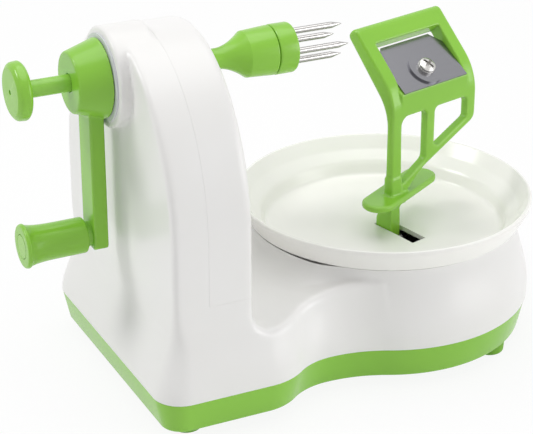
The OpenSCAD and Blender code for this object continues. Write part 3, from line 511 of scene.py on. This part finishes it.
def planRing(inset):
    p = plan

    def arc(cx, cy, radius, start, end, count):
        angles = np.radians(np.linspace(start, end, count + 1))
        return [(cx + radius * math.cos(a), cy + radius * math.sin(a)) for a in angles]
    half = (arc(p["corner"] - p["end"], p["corner"] - p["half"], p["corner"] - inset, 180, 270, 14)
            + arc(-p["bendStart"], bendRadius - p["half"], bendRadius - inset, 270, 270 + bendAngle, 12)
            + arc(-p["waistX"], -p["waistHalf"] - bendRadius, bendRadius + inset, 90 + bendAngle, 90, 12)[1:]
            + arc(-p["waistX"], -p["waistHalf"] - neckRadius, neckRadius + inset, 90, neckAngle, 12)[1:]
            + arc(0, 0, p["drum"] - inset, 180 + neckAngle, 360, 48)[1:])
    return half + [(x, -y) for x, y in half[-2::-1]]


# white housing: skirt, drum and column as one moulding
housing = {"end": 135, "fork": 98, "half": 62.5, "archZ": 85, "crown": 163, "bottom": 15.1,
           "flareLow": 15, "flareTop": 45, "corner": 2.4, "cornerGain": 10.6, "cornerRise": 45, "edge": 3.2,
           "ledgeLow": 39, "ledgeHigh": 48, "ledgeStart": 95, "ledgeLength": 65, "ledgeRound": 10,
           "drumNeck": 63.5, "drumFull": 20, "drumTop": 52, "drumBlendStart": 52, "drumBlend": 24,
           "drumRound": 14, "drumRoundDepth": 16, "drumReach": 68,
           "bossR": 22.3, "bossEnd": 140, "bossBack": 120, "boreR": 11, "boreEnd": 128,
           "shaftHoleR": 7, "shaftHoleEnd": 110, "wall": 2.2, "seamX": -119, "seamZ": 57, "seam": 0.05}


def housingField(x, y, z):
    h = housing
    across = np.abs(y)
    half, slope = planHalf(x)
    flare = softStep((z - h["flareLow"]) / (h["flareTop"] - h["flareLow"]))
    drumIn = (plan["drum"] - h["drumNeck"]) * softStep((z - h["drumFull"]) / (h["drumTop"] - h["drumFull"]))
    toDrum = softStep((x + h["drumBlendStart"]) / h["drumBlend"])
    drawIn = (plan["half"] - h["half"]) * flare * (1 - toDrum) + drumIn * toDrum
    centre = np.hypot(x, y)
    side = np.where(x < drumStartX, (across - half + drawIn) / np.sqrt(1 + slope ** 2),
                    centre - plan["drum"] + drawIn)
    # elliptical arch over the column
    up, rise = np.maximum(z - h["archZ"], 0), h["crown"] - h["archZ"]
    share = np.hypot(across / h["half"], up / rise)
    arch = (share - 1) * share / np.hypot(across / h["half"] ** 2, up / rise ** 2 + 1e-9)
    wall = np.where(z > h["archZ"], arch, side)
    end = -x - plan["end"] + (plan["end"] - h["end"]) * flare
    cornerRound = h["corner"] + h["cornerGain"] * (1 - softStep((z - h["flareLow"]) / h["cornerRise"]))
    outline = roundMax(end, wall, cornerRound)
    # ledge from the fork side of the column down to the drum
    ledgeRise = (h["ledgeHigh"] - h["ledgeLow"]) * softStep((x + h["ledgeStart"]) / h["ledgeLength"])
    profile = roundMin(x + h["fork"], z - h["ledgeLow"] - ledgeRise, h["ledgeRound"])
    body = roundMax(profile, outline, h["edge"])
    drum = roundMax(centre - plan["drum"] + drumIn, z - h["drumTop"] - 6, 1)
    body = roundMin(body, drum, h["drumRound"] * softStep(-side / h["drumRoundDepth"]))
    # boss and bores on the crank shaft
    fromShaft = np.hypot(y, z - shaftHeight)
    boss = roundMax(roundMax(fromShaft - h["bossR"], -x - h["bossEnd"], 1.4), x + h["bossBack"], 1)
    body = roundMin(body, boss, 0.9)
    body = np.maximum(body, -np.maximum(fromShaft - h["boreR"], x + h["boreEnd"]))
    return np.maximum(body, -np.maximum(fromShaft - h["shaftHoleR"], -x - h["shaftHoleEnd"]))


def closesBore(face):
    h = housing
    middle = face.calc_center_median()
    face.normal_update()
    nearShaft = math.hypot(middle.y, middle.z - shaftHeight) < h["boreR"] - 0.4
    return nearShaft and -h["boreEnd"] - 2 < middle.x < -h["shaftHoleEnd"] + 2 and abs(face.normal.x) > 0.7


def overDrum(face, low):
    middle = face.calc_center_median()
    return middle.xy.length < housing["drumReach"] and middle.z > low


def openHousing(shape):
    # open underside, drum and bores, with cuts along both sides of the seam
    h = housing

    def cutAt(parts, spot, way, **options):
        bmesh.ops.bisect_plane(shape, geom=parts, dist=1e-6, plane_co=spot, plane_no=way, **options)

    def everything():
        return shape.verts[:] + shape.edges[:] + shape.faces[:]
    cutAt(everything(), (0, 0, h["bottom"]), (0, 0, 1), clear_inner=True)
    onDrum = [f for f in shape.faces if overDrum(f, 40)]
    parts = {e for f in onDrum for e in f.edges} | {v for f in onDrum for v in f.verts} | set(onDrum)
    cutAt(list(parts), (0, 0, h["drumTop"]), (0, 0, 1))
    opened = [f for f in shape.faces if overDrum(f, h["drumTop"])]
    bmesh.ops.delete(shape, geom=opened, context="FACES")
    bmesh.ops.delete(shape, geom=[f for f in shape.faces if closesBore(f)], context="FACES")
    for gap in (-h["seam"] / 2, h["seam"] / 2):
        cutAt(everything(), (h["seamX"] + gap, 0, 0), (1, 0, 0))
    for gap in (-h["seam"] / 2, h["seam"] / 2):
        cutAt(everything(), (0, 0, h["seamZ"] + gap), (0, 0, 1))


def keepFaces(obj, wanted):
    def change(shape):
        unwanted = [f for f in shape.faces if not wanted(f.calc_center_median())]
        bmesh.ops.delete(shape, geom=unwanted, context="FACES")
    editMesh(obj, change)


def makeHousing():
    h = housing
    shell = moulded("bodyShell", housingField, (-150, -75, 9), (76, 75, 170), 1.5)
    editMesh(shell, openHousing)
    cover = newObject("columnCover", [], [])
    cover.data = shell.data.copy()
    gap = h["seam"] / 2
    keepFaces(cover, lambda c: c.x > h["seamX"] + gap and c.z > h["seamZ"] + gap)
    keepFaces(shell, lambda c: c.x < h["seamX"] - gap or c.z < h["seamZ"] - gap)
    for obj, node in ((shell, "body_shell"), (cover, "column_cover")):
        wall = obj.modifiers.new("wall", "SOLIDIFY")
        wall.thickness = h["wall"]
        wall.offset = -1
        settle(obj)
        finishPiece(obj, whitePlastic, node, angle=45)


makeHousing()

# green base pan with a rolled lower edge
pan = {"inset": 3.4, "height": 15, "wall": 2.5, "floorLow": 0.5, "floorTop": 3, "floorEdge": 3}


def lofted(name, rings):
    points = [p for ring in rings for p in ring]
    count = len(rings[0])
    faces = []
    for low in range(0, (len(rings) - 1) * count, count):
        for i in range(count):
            n = (i + 1) % count
            faces.append([low + i, low + n, low + count + n, low + count + i])
    faces += [list(range(count))[::-1], [(len(rings) - 1) * count + i for i in range(count)]]
    obj = newObject(name, points, faces)
    editMesh(obj, turnOut)
    return obj


def makeBase():
    p = pan
    inner = p["inset"] + p["wall"]
    edge = filleted([(inner + p["floorEdge"], p["floorLow"]), (inner, p["floorLow"], 0.3),
                     (inner - 0.3, 0, 0.3), (p["inset"], 0, 1.3), (0.2, p["height"], 0.4),
                     (inner, p["height"], 0.4), (inner, p["floorTop"], 0.6),
                     (inner + p["floorEdge"], p["floorTop"])])
    base = lofted("basePan", [[(x, y, z) for x, y in planRing(d)] for d, z in edge])
    finishPiece(base, limePlastic, "base_tray", angle=40)


makeBase()

# ivory tray with the slot for the arm
tray = {"rim": 70, "rimZ": 64.4, "floorZ": 49, "floorR": 53, "dome": 2.5, "wall": 2.2,
        "slotSide": -8, "slotStart": 2.3, "slotLength": 26, "slotWidth": 8.3}
armTurn = math.radians(15)


def fromArm(s, r, z):
    return (s * math.cos(armTurn) + r * math.sin(armTurn), s * math.sin(armTurn) - r * math.cos(armTurn), z)


def slotTool(name, low, high):
    return boxPiece(name, [fromArm(s, r, z) for s in (low[0], high[0]) for r in (low[1], high[1])
                           for z in (low[2], high[2])])


def makeTray():
    t = tray
    lift = t["floorZ"] - t["dome"]
    rise = [(t["floorZ"] - t["dome"] * k * k / 64, t["floorR"] * k / 8) for k in range(9)]
    above = rise + filleted([rise[-1], (lift + 0.3, 56.5, 3), (53, 58.6, 6), (58, 64.2, 8),
                             (t["rimZ"] - 0.1, 68.6, 0.9), (t["rimZ"] - 0.6, t["rim"], 0.7), (61.5, 69.7, 4),
                             (53, 65.2, 0.5), (52.6, 60.6, 0.3), (48.5, 60.2, 2), (lift - 2, 56, 2),
                             (lift - 2.2, t["floorR"])])[1:]
    under = [(z - t["wall"], r) for z, r in rise[-2::-1]]
    dish = turned("dish", above + under, (0, 0, 0), (0, 0, 1), 160)
    slotEnd = (t["slotSide"] + t["slotWidth"], t["slotStart"] + t["slotLength"], t["floorZ"] + 7)
    cutWith(dish, slotTool("slot", (t["slotSide"], t["slotStart"], t["floorZ"] - 11), slotEnd))
    finishPiece(dish, ivoryPlastic, "tray", angle=35)


makeTray()

# crank: conical hub and straight arm in one moulding
crank = {"back": 141.2, "length": 14.1, "backR": 17.7, "tipR": 13.4, "armSet": 1.2, "armWidth": 14,
         "armThick": 6.7, "throw": 72, "tail": 5.9, "holeR": 4.1}


def crankField(x, y, z):
    c = crank
    fromShaft = np.hypot(y, z - shaftHeight)
    fall = (c["backR"] - c["tipR"]) / c["length"]
    out = -x - c["back"]
    cone = (fromShaft - c["backR"] + fall * np.maximum(out, 0)) / math.hypot(1, fall)
    hub = roundMax(roundMax(cone, out - c["length"], 0.7), -out, 0.5)
    bottom = shaftHeight - c["throw"] - c["tail"]
    flat = roundMax(np.abs(y) - c["armWidth"] / 2, bottom - z, 2)
    depth = roundMax(out - c["armSet"] - c["armThick"], c["armSet"] - out, 0.1)
    bar = roundMax(roundMax(flat, depth, 0.7), z - shaftHeight, 0.1)
    whole = roundMin(hub, bar, 0.8)
    return np.maximum(whole, c["holeR"] - fromShaft)


crankArm = moulded("crankArm", crankField, (-158, -23, 62), (-138, 23, 167), 0.6)
editMesh(crankArm, turnOut)
finishPiece(crankArm, limePlastic, "crank_arm", angle=50)

# turned pieces on the shaft and on the crank
gripAxis = shaftHeight - crank["throw"]
grip = {"start": 151.6, "length": 28.7, "r": 8.1, "endR": 10.1, "pinR": 3.05, "headR": 5.55, "headDepth": 2.1}


def gripProfile():
    g = grip
    side = [(g["length"] * t / 12, g["r"] + (g["endR"] - g["r"]) * (t / 12) ** 6) for t in range(1, 12)]
    recess = g["length"] - g["headDepth"]
    end = filleted([side[-1], (g["length"] - 1.6, g["endR"], 1.0), (g["length"], g["endR"] - 0.5, 0.9),
                    (g["length"], g["headR"], 0.2), (recess, g["headR"], 0.2), (recess, g["pinR"])])
    return filleted([(0, g["pinR"]), (0, g["r"], 0.9), side[0]])[:-1] + side + end[1:]


crankGrip = turned("crankGrip", gripProfile(), (-grip["start"], 0, gripAxis), (-1, 0, 0), 96, True)
finishPiece(crankGrip, limePlastic, "crank_grip")

knob = {"end": 181.4, "thick": 6.5, "r": 12.9, "dimple": 1.1, "rodR": 3.8}
knobProfile = filleted([(1.2, 0), (1.2, knob["dimple"], 0.2), (0, knob["dimple"], 0.2),
                        (0.1, knob["r"] - 2.4, 1.2), (1.4, knob["r"] - 0.3, 2.2), (5.2, knob["r"], 1.4),
                        (knob["thick"], knob["r"] - 1.4, 1.2), (knob["thick"], knob["rodR"], 0.1),
                        (3.5, knob["rodR"]), (3.5, 0)])
pushKnob = turned("pushKnob", knobProfile, (-knob["end"], 0, shaftHeight), (1, 0, 0), 96)
finishPiece(pushKnob, limePlastic, "push_knob")

fork = {"back": 97, "flareStart": 10.5, "flare": 13, "length": 36.8, "neckR": 4.7, "backR": 10.5, "r": 11.3,
        "socketR": 3.62, "socket": 9}


def forkProfile():
    f = fork
    flare = [(f["flareStart"] + f["flare"] * t, f["neckR"] + (f["backR"] - f["neckR"]) * t ** 1.8)
             for t in np.linspace(0, 1, 17)]
    neck = filleted([(f["socket"], 0), (f["socket"], f["socketR"]), (0, f["socketR"], 0.1),
                     (0, f["neckR"], 0.3), flare[0]])
    head = filleted([flare[-2], (*flare[-1], 0.7), (f["length"], f["r"], 0.7), (f["length"], 0)])
    return neck[:-1] + flare[:-1] + head[1:]


forkHead = turned("forkHead", forkProfile(), (-fork["back"], 0, shaftHeight), (1, 0, 0), 96)
finishPiece(forkHead, limePlastic, "fork_head")


def aroundShaft(x, circle):
    angles = [k * math.pi / 2 for k in range(4)]
    return [(x, circle * math.sin(a), shaftHeight + circle * math.cos(a)) for a in angles]


ring = {"back": 59.9, "length": 9.5, "r": 11.4, "holeCircle": 7.06, "holeR": 1.8}
ringProfile = filleted([(0, 0), (0, ring["r"], 0.7), (ring["length"], ring["r"], 1.3), (ring["length"], 0)])
ejectRing = turned("ejectRing", ringProfile, (-ring["back"], 0, shaftHeight), (1, 0, 0), 96)
holeProfile = [(0, 0), (0, ring["holeR"]), (12, ring["holeR"]), (12, 0)]
for spot in aroundShaft(-ring["back"] - 1, ring["holeCircle"]):
    cutWith(ejectRing, turned("tineHole", holeProfile, spot, (1, 0, 0), 32))
finishPiece(ejectRing, limePlastic, "eject_ring")


# pieces that repeat are placed by one node tree
def makeSpreadTree():
    tree = bpy.data.node_groups.new("spreadPieces", "GeometryNodeTree")
    for label, kind in (("Places", "NodeSocketGeometry"), ("Piece", "NodeSocketObject"),
                        ("Size", "NodeSocketFloat"), ("Finish", "NodeSocketMaterial")):
        tree.interface.new_socket(label, in_out="INPUT", socket_type=kind)
    tree.interface.new_socket("Geometry", in_out="OUTPUT", socket_type="NodeSocketGeometry")
    given, result = addNode(tree, "NodeGroupInput"), addNode(tree, "NodeGroupOutput")
    info = addNode(tree, "GeometryNodeObjectInfo")
    spread = addNode(tree, "GeometryNodeInstanceOnPoints")
    real = addNode(tree, "GeometryNodeRealizeInstances")
    paint = addNode(tree, "GeometryNodeSetMaterial")
    link = tree.links.new
    link(given.outputs["Places"], spread.inputs["Points"])
    link(given.outputs["Piece"], info.inputs["Object"])
    link(info.outputs["Geometry"], spread.inputs["Instance"])
    link(given.outputs["Size"], spread.inputs["Scale"])
    link(spread.outputs["Instances"], real.inputs["Geometry"])
    link(real.outputs["Geometry"], paint.inputs["Geometry"])
    link(given.outputs["Finish"], paint.inputs["Material"])
    link(paint.outputs["Geometry"], result.inputs["Geometry"])
    return tree


spreadPieces = makeSpreadTree()


def spreadOver(name, places, piece, finish):
    obj = newObject(name, places, [])
    modifier = obj.modifiers.new("spread", "NODES")
    modifier.node_group = spreadPieces
    sockets = spreadPieces.interface.items_tree
    inputs = {item.name: item.identifier for item in sockets if item.in_out == "INPUT"}
    modifier[inputs["Piece"]] = piece
    modifier[inputs["Size"]] = 1.0
    modifier[inputs["Finish"]] = finish
    settle(obj)
    bpy.data.objects.remove(piece)
    return obj


tine = {"seat": 70.2, "tip": 24.4, "r": 1.5, "point": 5, "circle": 7.06}
tineLength = tine["seat"] - tine["tip"]
oneTine = turned("oneTine", [(0, 0), (0, tine["r"]), (tineLength - tine["point"] - 0.6, tine["r"]),
                             (tineLength - tine["point"], tine["r"] * 0.96), (tineLength - 0.5, 0.28),
                             (tineLength - 0.1, 0.12), (tineLength, 0)], (0, 0, 0), (1, 0, 0), 40)
forkTines = spreadOver("forkTines", aroundShaft(-tine["seat"], tine["circle"]), oneTine, brightSteel)
finishPiece(forkTines, brightSteel, "fork_tines", angle=30)

foot = {"height": 5.5, "r": 7.4, "stepR": 4.6, "step": 0.5, "plugR": 3, "plug": 3,
        "places": [(-126.1, -51.5), (-126.1, 51.5), (31, -50), (31, 50)]}
stepTop, plugTop = foot["height"] + foot["step"], foot["height"] + foot["plug"]
footProfile = filleted([(0, 0), (0, foot["r"] - 0.4, 1.6), (foot["height"], foot["r"], 0.3),
                        (foot["height"], foot["stepR"], 0.2), (stepTop, foot["stepR"], 0.2),
                        (stepTop, foot["plugR"]), (plugTop, foot["plugR"], 0.4), (plugTop, 0)])
oneFoot = turned("oneFoot", footProfile, (0, 0, 0), (0, 0, 1), 56)
feet = spreadOver("rubberFeet", [(x, y, -foot["height"]) for x, y in foot["places"]], oneFoot, footRubber)
finishPiece(feet, footRubber, "rubber_feet")

# peeling arm: bent frame with window, openings, thumb tab and stem; s across, r out from the tray axis
arm = {"left": -7.5, "right": 47.5, "front": 12.7, "thick": 4.5, "low": 60, "high": 170, "sill": 116,
       "bend": 26, "lean": 45.7, "head": 38, "headThick": 7,
       "windowLeft": -0.8, "windowRight": 40.8, "window": 27.7,
       "slope": 34.5, "bladeSeat": 0.85, "bladeMiddle": 20, "bladeHole": 9.4,
       "bedLength": 14, "bedThick": 3, "barTop": 104.5, "stemMiddle": -4.5, "stemHalf": 3,
       "hingeOut": 8.5, "hingeZ": 40, "knuckle": 5, "pinR": 1.55, "screwR": 2.1, "nutR": 4.6, "nutDepth": 3.8}
thumbTab = {"across": 4, "out": 6.5, "z": 64.4, "half": 19, "r": 8, "halfThick": 1.6, "turn": 16}


def makeArmLoops():
    a = arm
    lean, slope = math.radians(a["lean"]), math.radians(a["slope"])
    sill = Vector((a["front"], a["sill"]))
    headUp, back = Vector((-math.sin(lean), math.cos(lean))), Vector((-math.cos(lean), -math.sin(lean)))
    bladeIn, bladeUp = Vector((-math.cos(slope), math.sin(slope))), Vector((math.sin(slope), math.cos(slope)))
    top = sill + headUp * a["head"]
    heel = top + back * a["headThick"]
    inner = a["front"] - a["thick"]
    side = filleted([(a["front"], a["low"]), (*sill, a["bend"]), (*top, 3.2), (*heel, 2.6),
                     (inner + 0.1, 107.5, 22), (inner, a["low"])], True, 10)
    under = sill - bladeUp * a["bladeSeat"]
    bedEnd = sill + bladeIn * a["bedLength"]
    bedTop, bedLow = bedEnd - bladeUp * a["bladeSeat"], bedEnd - bladeUp * (a["bladeSeat"] + a["bedThick"])
    bed = [tuple(under), tuple(bedTop), tuple(bedLow), (inner - 2, a["sill"] - 7),
           (inner, a["sill"] - 11.5), (a["front"], a["sill"] - 11.5)]
    lintel, through = sill + headUp * a["window"], back * 3 * a["headThick"]
    window = [tuple(p) for p in (sill - back * 20, under, bedTop, bedEnd - bladeUp * 12,
                                 lintel + through, lintel - through)]
    face = filleted([(a["left"], a["low"]), (a["left"], a["high"]), (a["right"], a["high"]),
                     (a["right"], 92, 5), (13.5, 75.5, 25), (3, 66, 4), (3, a["low"])], True)
    gapNear = filleted([(-1.8, a["barTop"], 4.5), (14.8, a["barTop"], 3), (15, 79.5, 4), (-1, 70, 1.2)], True)
    gapFar = filleted([(20, a["barTop"], 3), (41.8, a["barTop"], 3.5), (41.8, 93.6, 2.5), (22.5, 84.2, 2),
                       (20, 86, 1.5)], True)
    stem = filleted([(2.8, 42), (2.8, 53, 6), (inner, 64, 6), (inner, 74), (a["front"], 74),
                     (a["front"], 62, 4), (a["front"] + 0.7, 52, 4), (a["front"] + 0.7, a["hingeZ"])], True)
    return {"side": side, "bed": bed, "window": window, "face": face, "gapNear": gapNear, "gapFar": gapFar,
            "stem": stem}


armLoops = makeArmLoops()


def thumbTabField(s, r, z):
    t = thumbTab
    turn = math.radians(t["turn"])
    along = (s - t["across"]) * math.cos(turn) - (r - t["out"]) * math.sin(turn)
    cross = (s - t["across"]) * math.sin(turn) + (r - t["out"]) * math.cos(turn)
    outline = np.hypot(np.maximum(np.abs(along) - t["half"], 0), cross) - t["r"]
    return roundMax(outline, np.abs(z - t["z"]) - t["halfThick"], 1.1)


def bladeHoleField(s, r, z):
    # hole for the blade screw, with the recess for its nut
    a = arm
    slope = math.radians(a["slope"])
    out = (z - a["sill"]) * math.cos(slope) + (r - a["front"]) * math.sin(slope)
    along = (a["front"] - r) * math.cos(slope) + (z - a["sill"]) * math.sin(slope)
    fromScrew = np.hypot(s - a["bladeMiddle"], along - a["bladeHole"])
    return np.maximum(fromScrew - np.where(out < -a["nutDepth"], a["nutR"], a["screwR"]), out - 2)


def armField(s, r, z):
    a, loops = arm, armLoops
    middle, half = (a["left"] + a["right"]) / 2, (a["right"] - a["left"]) / 2
    frameFace = roundMax(loopDistance(s, z, loops["face"]), np.abs(s - middle) - half, 0.1)
    body = roundMax(loopDistance(r, z, loops["side"]), frameFace, 1.3)
    gaps = [loopDistance(s, z, loops[name]) for name in ("gapNear", "gapFar")]
    for gap in gaps:
        body = roundMax(body, -gap, 0.7)
    windowMid, windowHalf = (a["windowLeft"] + a["windowRight"]) / 2, (a["windowRight"] - a["windowLeft"]) / 2
    opening = np.maximum(loopDistance(r, z, loops["window"]), np.abs(s - windowMid) - windowHalf)
    body = roundMax(body, -opening, 0.6)
    bed = roundMax(loopDistance(r, z, loops["bed"]), np.abs(s - windowMid) - windowHalf - 1, 0.3)
    body = np.minimum(body, np.maximum(bed, -np.minimum(*gaps)))
    fromHinge = np.hypot(r - a["hingeOut"], z - a["hingeZ"])
    stemSide = np.abs(s - a["stemMiddle"]) - a["stemHalf"]
    stem = roundMax(loopDistance(r, z, loops["stem"]), stemSide, 0.7)
    knuckle = roundMax(fromHinge - a["knuckle"], stemSide, 0.5)
    body = roundMin(body, np.minimum(stem, knuckle), 2)
    body = roundMin(body, thumbTabField(s, r, z), 1.4)
    body = np.maximum(body, a["pinR"] - fromHinge)
    return np.maximum(body, -bladeHoleField(s, r, z))


peelingArm = moulded("peelingArm", armField, (-25, -27, 33), (50, 24, 146), 0.75, 4)


def standUp(shape):
    for vert in shape.verts:
        vert.co = fromArm(*vert.co)
    turnOut(shape)


editMesh(peelingArm, standUp)
finishPiece(peelingArm, limePlastic, "peeling_arm", angle=50)

# pan head screw of the blade
bladeScrew = {"shank": 8, "shankR": 2, "seat": 1, "split": 1.9, "splitGap": 0.15, "splitR": 2.8, "headR": 4.2,
              "headH": 3, "crossWidth": 1.2, "crossReach": 2.8, "crossDepth": 2.2, "crossTurn": 25}


def onBlade(across, along, out):
    slope = math.radians(arm["slope"])
    reach = arm["bladeHole"] + along
    return fromArm(arm["bladeMiddle"] + across,
                   arm["front"] - reach * math.cos(slope) + out * math.sin(slope),
                   arm["sill"] + reach * math.sin(slope) + out * math.cos(slope))


def makeBladeScrew():
    b = bladeScrew
    top = b["seat"] + b["headH"]
    headLow = b["split"] + b["splitGap"]
    outline = filleted([(-b["shank"], 0), (-b["shank"], 0.6), (-b["shank"] + 1.4, b["shankR"], 0.3),
                        (b["seat"], b["shankR"]), (b["seat"], b["headR"], 0.15),
                        (b["split"], b["headR"], 0.15), (b["split"], b["splitR"]), (headLow, b["splitR"]),
                        (headLow, b["headR"] - 0.1, 0.2),
                        (top - 0.9, b["headR"] - 0.1, 0.6), (top - 0.05, 2.2, 2), (top, 0)])
    screw = turned("bladeScrew", outline, (0, 0, 0), (0, 0, 1), 64)
    for turn in (math.radians(b["crossTurn"]), math.radians(b["crossTurn"] + 90)):
        u, v = Vector((math.cos(turn), math.sin(turn), 0)), Vector((-math.sin(turn), math.cos(turn), 0))
        corners = [u * i * b["crossReach"] + v * j * b["crossWidth"] / 2 + Vector((0, 0, z))
                   for i in (-1, 1) for j in (-1, 1) for z in (top - b["crossDepth"], top + 1)]
        cutWith(screw, boxPiece("crossBar", corners))

    def seatOnBlade(shape):
        for vert in shape.verts:
            vert.co = onBlade(*vert.co)
        turnOut(shape)
    editMesh(screw, seatOnBlade)
    finishPiece(screw, screwSteel, "blade_screw", angle=40)


makeBladeScrew()

# finishes of the CAD pieces that stay
finishes = [(greyPlastic, ("crank_bush", "fork_bush")),
            (limePlastic, ("grip_pin", "push_rod", "drive_shaft")),
            (bladeSteel, ("blade", "blade_washer")),
            (gearPlastic, ("gear_bracket", "shaft_pinion", "crown_wheel", "layshaft_pinion", "compound_gear",
                           "turntable_gear")),
            (brightSteel, ("eject_rod", "layshaft", "compound_axle", "hinge_pin"))]
finishOf = {node: material for material, nodes in finishes for node in nodes}
for node, obj in frame["nodes"].items():
    if not obj.hide_render:
        obj.data.materials[0] = finishOf.get(node, screwSteel)
print("carried-over pieces finished")

# white studio floor and light
studio = {"floor": 8, "floorColour": (0.93, 0.93, 0.93, 1), "floorShare": 0.9, "worldLight": 0.4}


def seenDirectly(tree):
    # 1 for rays from the camera, off metal and through glass
    path = addNode(tree, "ShaderNodeLightPath")
    either = addNode(tree, "ShaderNodeMath", {"operation": "MAXIMUM"})
    anyOf = addNode(tree, "ShaderNodeMath", {"operation": "MAXIMUM"})
    tree.links.new(path.outputs["Is Camera Ray"], either.inputs[0])
    tree.links.new(path.outputs["Is Glossy Ray"], either.inputs[1])
    tree.links.new(either.outputs[0], anyOf.inputs[0])
    tree.links.new(path.outputs["Is Transmission Ray"], anyOf.inputs[1])
    return anyOf.outputs[0]


def makeFloor():
    half = studio["floor"] / 2
    floor = newObject("floor", [(-half, -half, 0), (half, -half, 0), (half, half, 0), (-half, half, 0)],
                      [(0, 1, 2, 3)])
    paint = bpy.data.materials.new("floorPaint")
    paint.use_nodes = True
    tree = paint.node_tree
    shader = tree.nodes["Principled BSDF"]
    shader.inputs["Base Color"].default_value = studio["floorColour"]
    shader.inputs["Roughness"].default_value = 0.8
    shader.inputs["Specular IOR Level"].default_value = 0
    shareOf = addNode(tree, "ShaderNodeMath", {"operation": "MULTIPLY"}, {1: studio["floorShare"]})
    glow = addNode(tree, "ShaderNodeEmission", sockets={"Color": (1, 1, 1, 1), "Strength": 1})
    mixed = addNode(tree, "ShaderNodeMixShader")
    tree.links.new(seenDirectly(tree), shareOf.inputs[0])
    tree.links.new(shareOf.outputs[0], mixed.inputs[0])
    tree.links.new(shader.outputs[0], mixed.inputs[1])
    tree.links.new(glow.outputs[0], mixed.inputs[2])
    tree.links.new(mixed.outputs[0], tree.nodes["Material Output"].inputs["Surface"])
    floor.data.materials.append(paint)


makeFloor()

world = bpy.data.worlds.new("studio")
bpy.context.scene.world = world
world.use_nodes = True
worldTree = world.node_tree
sky = worldTree.nodes["Background"]
sky.inputs["Color"].default_value = (1, 1, 1, 1)
strength = addNode(worldTree, "ShaderNodeMapRange", sockets={"To Min": studio["worldLight"], "To Max": 1})
worldTree.links.new(seenDirectly(worldTree), strength.inputs["Value"])
worldTree.links.new(strength.outputs["Result"], sky.inputs["Strength"])

lamps = {"keyLight": {"place": (-1.2, 0.45, 1.15), "size": 0.5, "power": 8.5},
         "topLight": {"place": (0.1, 0.1, 1.5), "size": 1.4, "power": 11},
         "frontLight": {"place": (1.35, -1.3, 0.4), "size": 1.2, "power": 15}}
aim = Vector((0, 0, 0.07))
for name, lamp in lamps.items():
    light = bpy.data.lights.new(name, "AREA")
    light.size = lamp["size"]
    light.energy = lamp["power"]
    holder = bpy.data.objects.new(name, light)
    holder.location = lamp["place"]
    holder.rotation_euler = (aim - holder.location).to_track_quat("-Z", "Y").to_euler()
    bpy.context.scene.collection.objects.link(holder)
print("floor and lights set")
